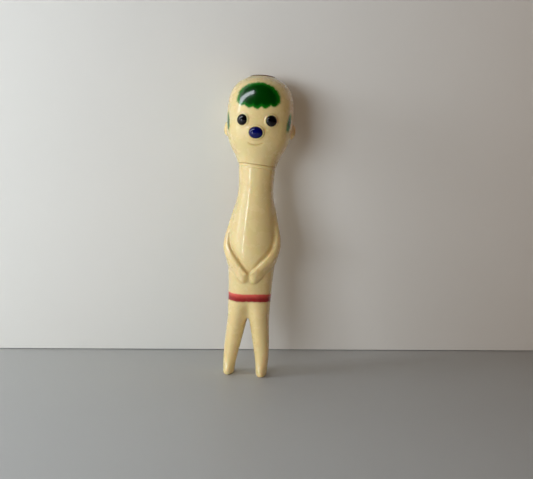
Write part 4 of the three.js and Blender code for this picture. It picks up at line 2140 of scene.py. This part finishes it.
@dataclass
class CrownPlug:
    """The low domed plug that closes the crown."""

    radius: float = mm(11.8)
    rise: float = mm(1.6)
    edge: float = mm(0.6)
    skirt_radius: float = mm(8.6)
    skirt_wall: float = mm(1.1)
    skirt_length: float = mm(5)
    seat: float = mm(278.4)
    middle_y: float = mm(1.2)
    soft_edge: float = mm(0.25)
    sides: int = 96
    dome_rings: int = 16
    sharp: float = 35

    def build(self, material: bpy.types.Material) -> None:
        """Models and dresses the plug.

        Args:
            material: The plug's plastic.
        """
        inside = self.skirt_radius - self.skirt_wall
        profile = [
            (inside, 0.0),
            (inside, -self.skirt_length),
            (self.skirt_radius, -self.skirt_length),
            (self.skirt_radius, 0.0),
            (self.radius - self.soft_edge, 0.0),
            (self.radius, self.soft_edge),
            *dome_profile(self.radius, self.edge, self.rise - self.edge, self.dome_rings),
        ]
        plug = sweep("crown_cap", round_rings(profile, self.sides))
        place_at(plug, Matrix.Translation((0, self.middle_y, self.seat)))
        dress(plug, material, "plug_vinyl", Carrier.HEAD, "crown_plug", self.sharp)


@dataclass
class HiddenFittings:
    """The neck spool and the bead washers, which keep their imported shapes."""

    nodes: tuple[str, ...] = ("neck_spool", "left_eye_washer", "right_eye_washer", "nose_washer")

    def build(self, material: bpy.types.Material) -> None:
        """Gives the fittings their material.

        Args:
            material: Their plastic.
        """
        for name in self.nodes:
            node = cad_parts[name]
            for slot in node.material_slots:
                slot.material = material
            log.info("%s keeps its packed shape", name)


# The studio


@dataclass(frozen=True)
class Viewpoint:
    """Where the portrait is taken from: near the neck's height, to the figure's left, with a roll."""

    distance: float = 0.6
    azimuth: float = math.radians(5)
    height: float = mm(175)
    aim_height: float = mm(129)
    aim_right: float = mm(12.8)
    roll: float = math.radians(3.5)
    lens: float = 43.15
    nearest: float = 0.05
    farthest: float = 20

    def toward(self) -> Vector:
        """Gives the level direction that the camera looks in."""
        return Vector((-math.sin(self.azimuth), math.cos(self.azimuth), 0))

    def right(self) -> Vector:
        """Gives the level direction to the picture's right, before the roll."""
        return Vector((math.cos(self.azimuth), math.sin(self.azimuth), 0))

    def spot(self, right: float, toward: float, up: float) -> Vector:
        """Gives a point by its place in the view.

        Args:
            right: The distance to the right of the figure.
            toward: The distance behind the figure, or in front of it where it is negative.
            up: The height above the floor.

        Returns:
            The point in the figure's frame.
        """
        return self.right() * right + self.toward() * toward + Vector((0, 0, up))

    def build(self) -> None:
        """Places the camera."""
        camera = bpy.data.objects.new("portrait_camera", bpy.data.cameras.new("portrait_camera"))
        bpy.context.scene.collection.objects.link(camera)
        camera.data.lens = self.lens
        camera.data.clip_start = self.nearest
        camera.data.clip_end = self.farthest
        camera.location = self.spot(self.aim_right, -self.distance, self.height)
        aim = self.spot(self.aim_right, 0, self.aim_height) - camera.location
        turned = aim.to_track_quat("-Z", "Y")
        camera.rotation_mode = "QUATERNION"
        camera.rotation_quaternion = turned @ Quaternion((0, 0, 1), self.roll)
        bpy.context.scene.camera = camera


@dataclass(frozen=True)
class Softbox:
    """A soft studio lamp: its place in the view, its size and its light, and what it points at."""

    name: str
    at: tuple[float, float, float]
    width: float
    height: float
    power: float
    color: tuple[float, float, float] = (0.945, 1.0, 1.085)
    aim: tuple[float, float, float] = (0, 0, 0.15)
    roll: float = 0.0
    reflected: bool = False

    def build(self, view: Viewpoint) -> None:
        """Places the lamp.

        Args:
            view: The viewpoint that its place is counted from.
        """
        light = bpy.data.lights.new(self.name, "AREA")
        light.shape = "RECTANGLE"
        light.size = self.width
        light.size_y = self.height
        light.energy = self.power
        light.color = self.color
        lamp = bpy.data.objects.new(self.name, light)
        bpy.context.scene.collection.objects.link(lamp)
        lamp.location = view.spot(*self.at)
        lamp.rotation_mode = "QUATERNION"
        turned = (view.spot(*self.aim) - lamp.location).to_track_quat("-Z", "Y")
        lamp.rotation_quaternion = turned @ Quaternion((0, 0, 1), self.roll)
        lamp.visible_glossy = self.reflected
        lamp.visible_diffuse = not self.reflected


@dataclass
class Studio:
    """The pale wall and floor, the soft lamps and the camera."""

    view: Viewpoint = Viewpoint()
    wall_behind: float = mm(88)
    wall_turn: float = math.radians(12.8)
    wall_lean: float = math.radians(10.8)
    wall_gap: float = mm(0.9)
    wall_left: float = 0.62
    wall_right: float = 1.3
    wall_height: float = 0.9
    floor_size: float = 4.0
    fill: float = 0.004
    air: Color = (1.0, 0.74, 0.42, 1)

    def add_sheet(self, name: str, corners: Sequence[Vector], material: bpy.types.Material) -> None:
        """Adds one flat sheet of the set.

        Args:
            name: The sheet's name.
            corners: Its four corners, in order.
            material: Its paint.
        """
        bpy.ops.object.select_all(action="DESELECT")
        bpy.ops.mesh.primitive_plane_add(size=1)
        sheet = rename(bpy.context.object, name)
        order = (0, 1, 3, 2)
        for vertex, corner in zip(order, corners):
            sheet.data.vertices[vertex].co = corner
        sheet.data.update()
        sheet.data.materials.append(material)

    def build(self) -> None:
        """Builds the set, the lamps, the air and the camera."""
        self.build_floor()
        self.build_wall()
        self.light()
        world = bpy.data.worlds.new("studio_air")
        world.use_nodes = True
        background = world.node_tree.nodes["Background"]
        background.inputs["Color"].default_value = self.air
        background.inputs["Strength"].default_value = self.fill
        bpy.context.scene.world = world
        bpy.context.scene.view_settings.view_transform = "Standard"
        self.view.build()

    def build_floor(self) -> None:
        """Builds the level floor."""
        paint = BackdropFinish("pale_floor_paint", srgb(195, 196, 193), srgb(189, 190, 188), roughness=0.55)
        reach = self.floor_size / 2
        corners = [Vector((x * reach, y * reach, 0)) for x, y in ((-1, -1), (1, -1), (1, 1), (-1, 1))]
        self.add_sheet("studio_floor", corners, paint.material())

    def build_wall(self) -> None:
        """Builds the wall, which is turned away from the view and leans forward a little."""
        paint = BackdropFinish(
            "pale_wall_paint",
            srgb(240, 239, 231),
            srgb(235, 234, 226),
            relief=mm(0.12),
            seen_from_behind=False,
        )
        foot = self.view.spot(0, self.wall_behind, self.wall_gap)
        along = self.view.right() * math.cos(self.wall_turn) + self.view.toward() * math.sin(self.wall_turn)
        left, right = foot - along * self.wall_left, foot + along * self.wall_right
        lean = along.cross(UP) * math.sin(self.wall_lean)
        up = (UP * math.cos(self.wall_lean) + lean) * self.wall_height
        self.add_sheet("studio_wall", [left, right, right + up, left + up], paint.material())

    def light(self) -> None:
        """Places the window's panes, the warm room and what the gloss reflects of the window."""
        lamps = [
            Softbox("near_window_pane", (-0.444, -0.853, 0.19), 0.47, 0.22, 4.7),
            Softbox("far_window_pane", (-1.017, -0.492, 0.34), 0.27, 0.33, 3.3),
            Softbox("side_curtain", (-0.955, -0.222, 0.27), 0.37, 0.85, 2.85),
            Softbox("warm_room", (0.95, -0.7, 0.3), 0.8, 0.8, 1.5, color=(1.0, 0.52, 0.2)),
            Softbox("near_frame_reflection", (-0.602, -0.669, 0.25), 0.07, 0.08, 0.34, reflected=True),
            Softbox("sill_reflection", (-0.602, -0.669, 0.066), 0.12, 0.12, 0.42, reflected=True),
            Softbox("far_frame_reflection", (-0.889, -0.141, 0.255), 0.08, 0.1, 0.3, reflected=True),
            Softbox("curtain_reflection", (-0.839, -0.446, 0.19), 0.5, 0.3, 0.65, reflected=True),
            Softbox(
                "sky_reflection",
                (-0.58, -0.35, 0.57),
                width=0.8,
                height=0.15,
                power=3.0,
                aim=(0, 0, 0.25),
                roll=math.radians(36),
                reflected=True,
            ),
        ]
        for lamp in lamps:
            lamp.build(self.view)


def main() -> None:
    """Builds the figure and its studio in order."""
    logging.basicConfig(level=logging.INFO, format="%(name)s: %(message)s")
    effects = Effects()
    vinyl = VinylFinish().material(effects)
    black = GlossFinish("black_bead_plastic", srgb(9, 8, 12), srgb(4, 3, 6)).material(effects)
    blue = GlossFinish("blue_bead_plastic", srgb(4, 11, 90), srgb(2, 6, 60)).material(effects)
    brown = SatinFinish("brown_plug_vinyl", srgb(92, 56, 30), srgb(124, 84, 52)).material(effects)
    pale = SatinFinish("plain_inner_plastic", srgb(222, 214, 182), srgb(204, 194, 158), roughness=0.5)

    Studio().build()
    BodySkin().build(vinyl)
    head = HeadSkin()
    head.build(vinyl)
    for side in Side:
        name = side.name.lower()
        eye = Bead(
            name=f"{name}_bead_eye",
            node=f"{name}_eye",
            slot="eye_gloss",
            place=head.eye_frame(side),
            half_width=head.eye_radius,
            half_height=head.eye_radius,
            rise=head.eye_rise,
        )
        eye.build(black)
    nose = Bead(
        name="bead_nose",
        node="nose_button",
        slot="nose_gloss",
        place=head.nose_frame(),
        half_width=head.nose_half_width,
        half_height=head.nose_half_height,
        rise=head.nose_rise,
    )
    nose.build(blue)
    CrownPlug().build(brown)
    HiddenFittings().build(pale.material(effects))


if __name__ == "__main__":
    main()
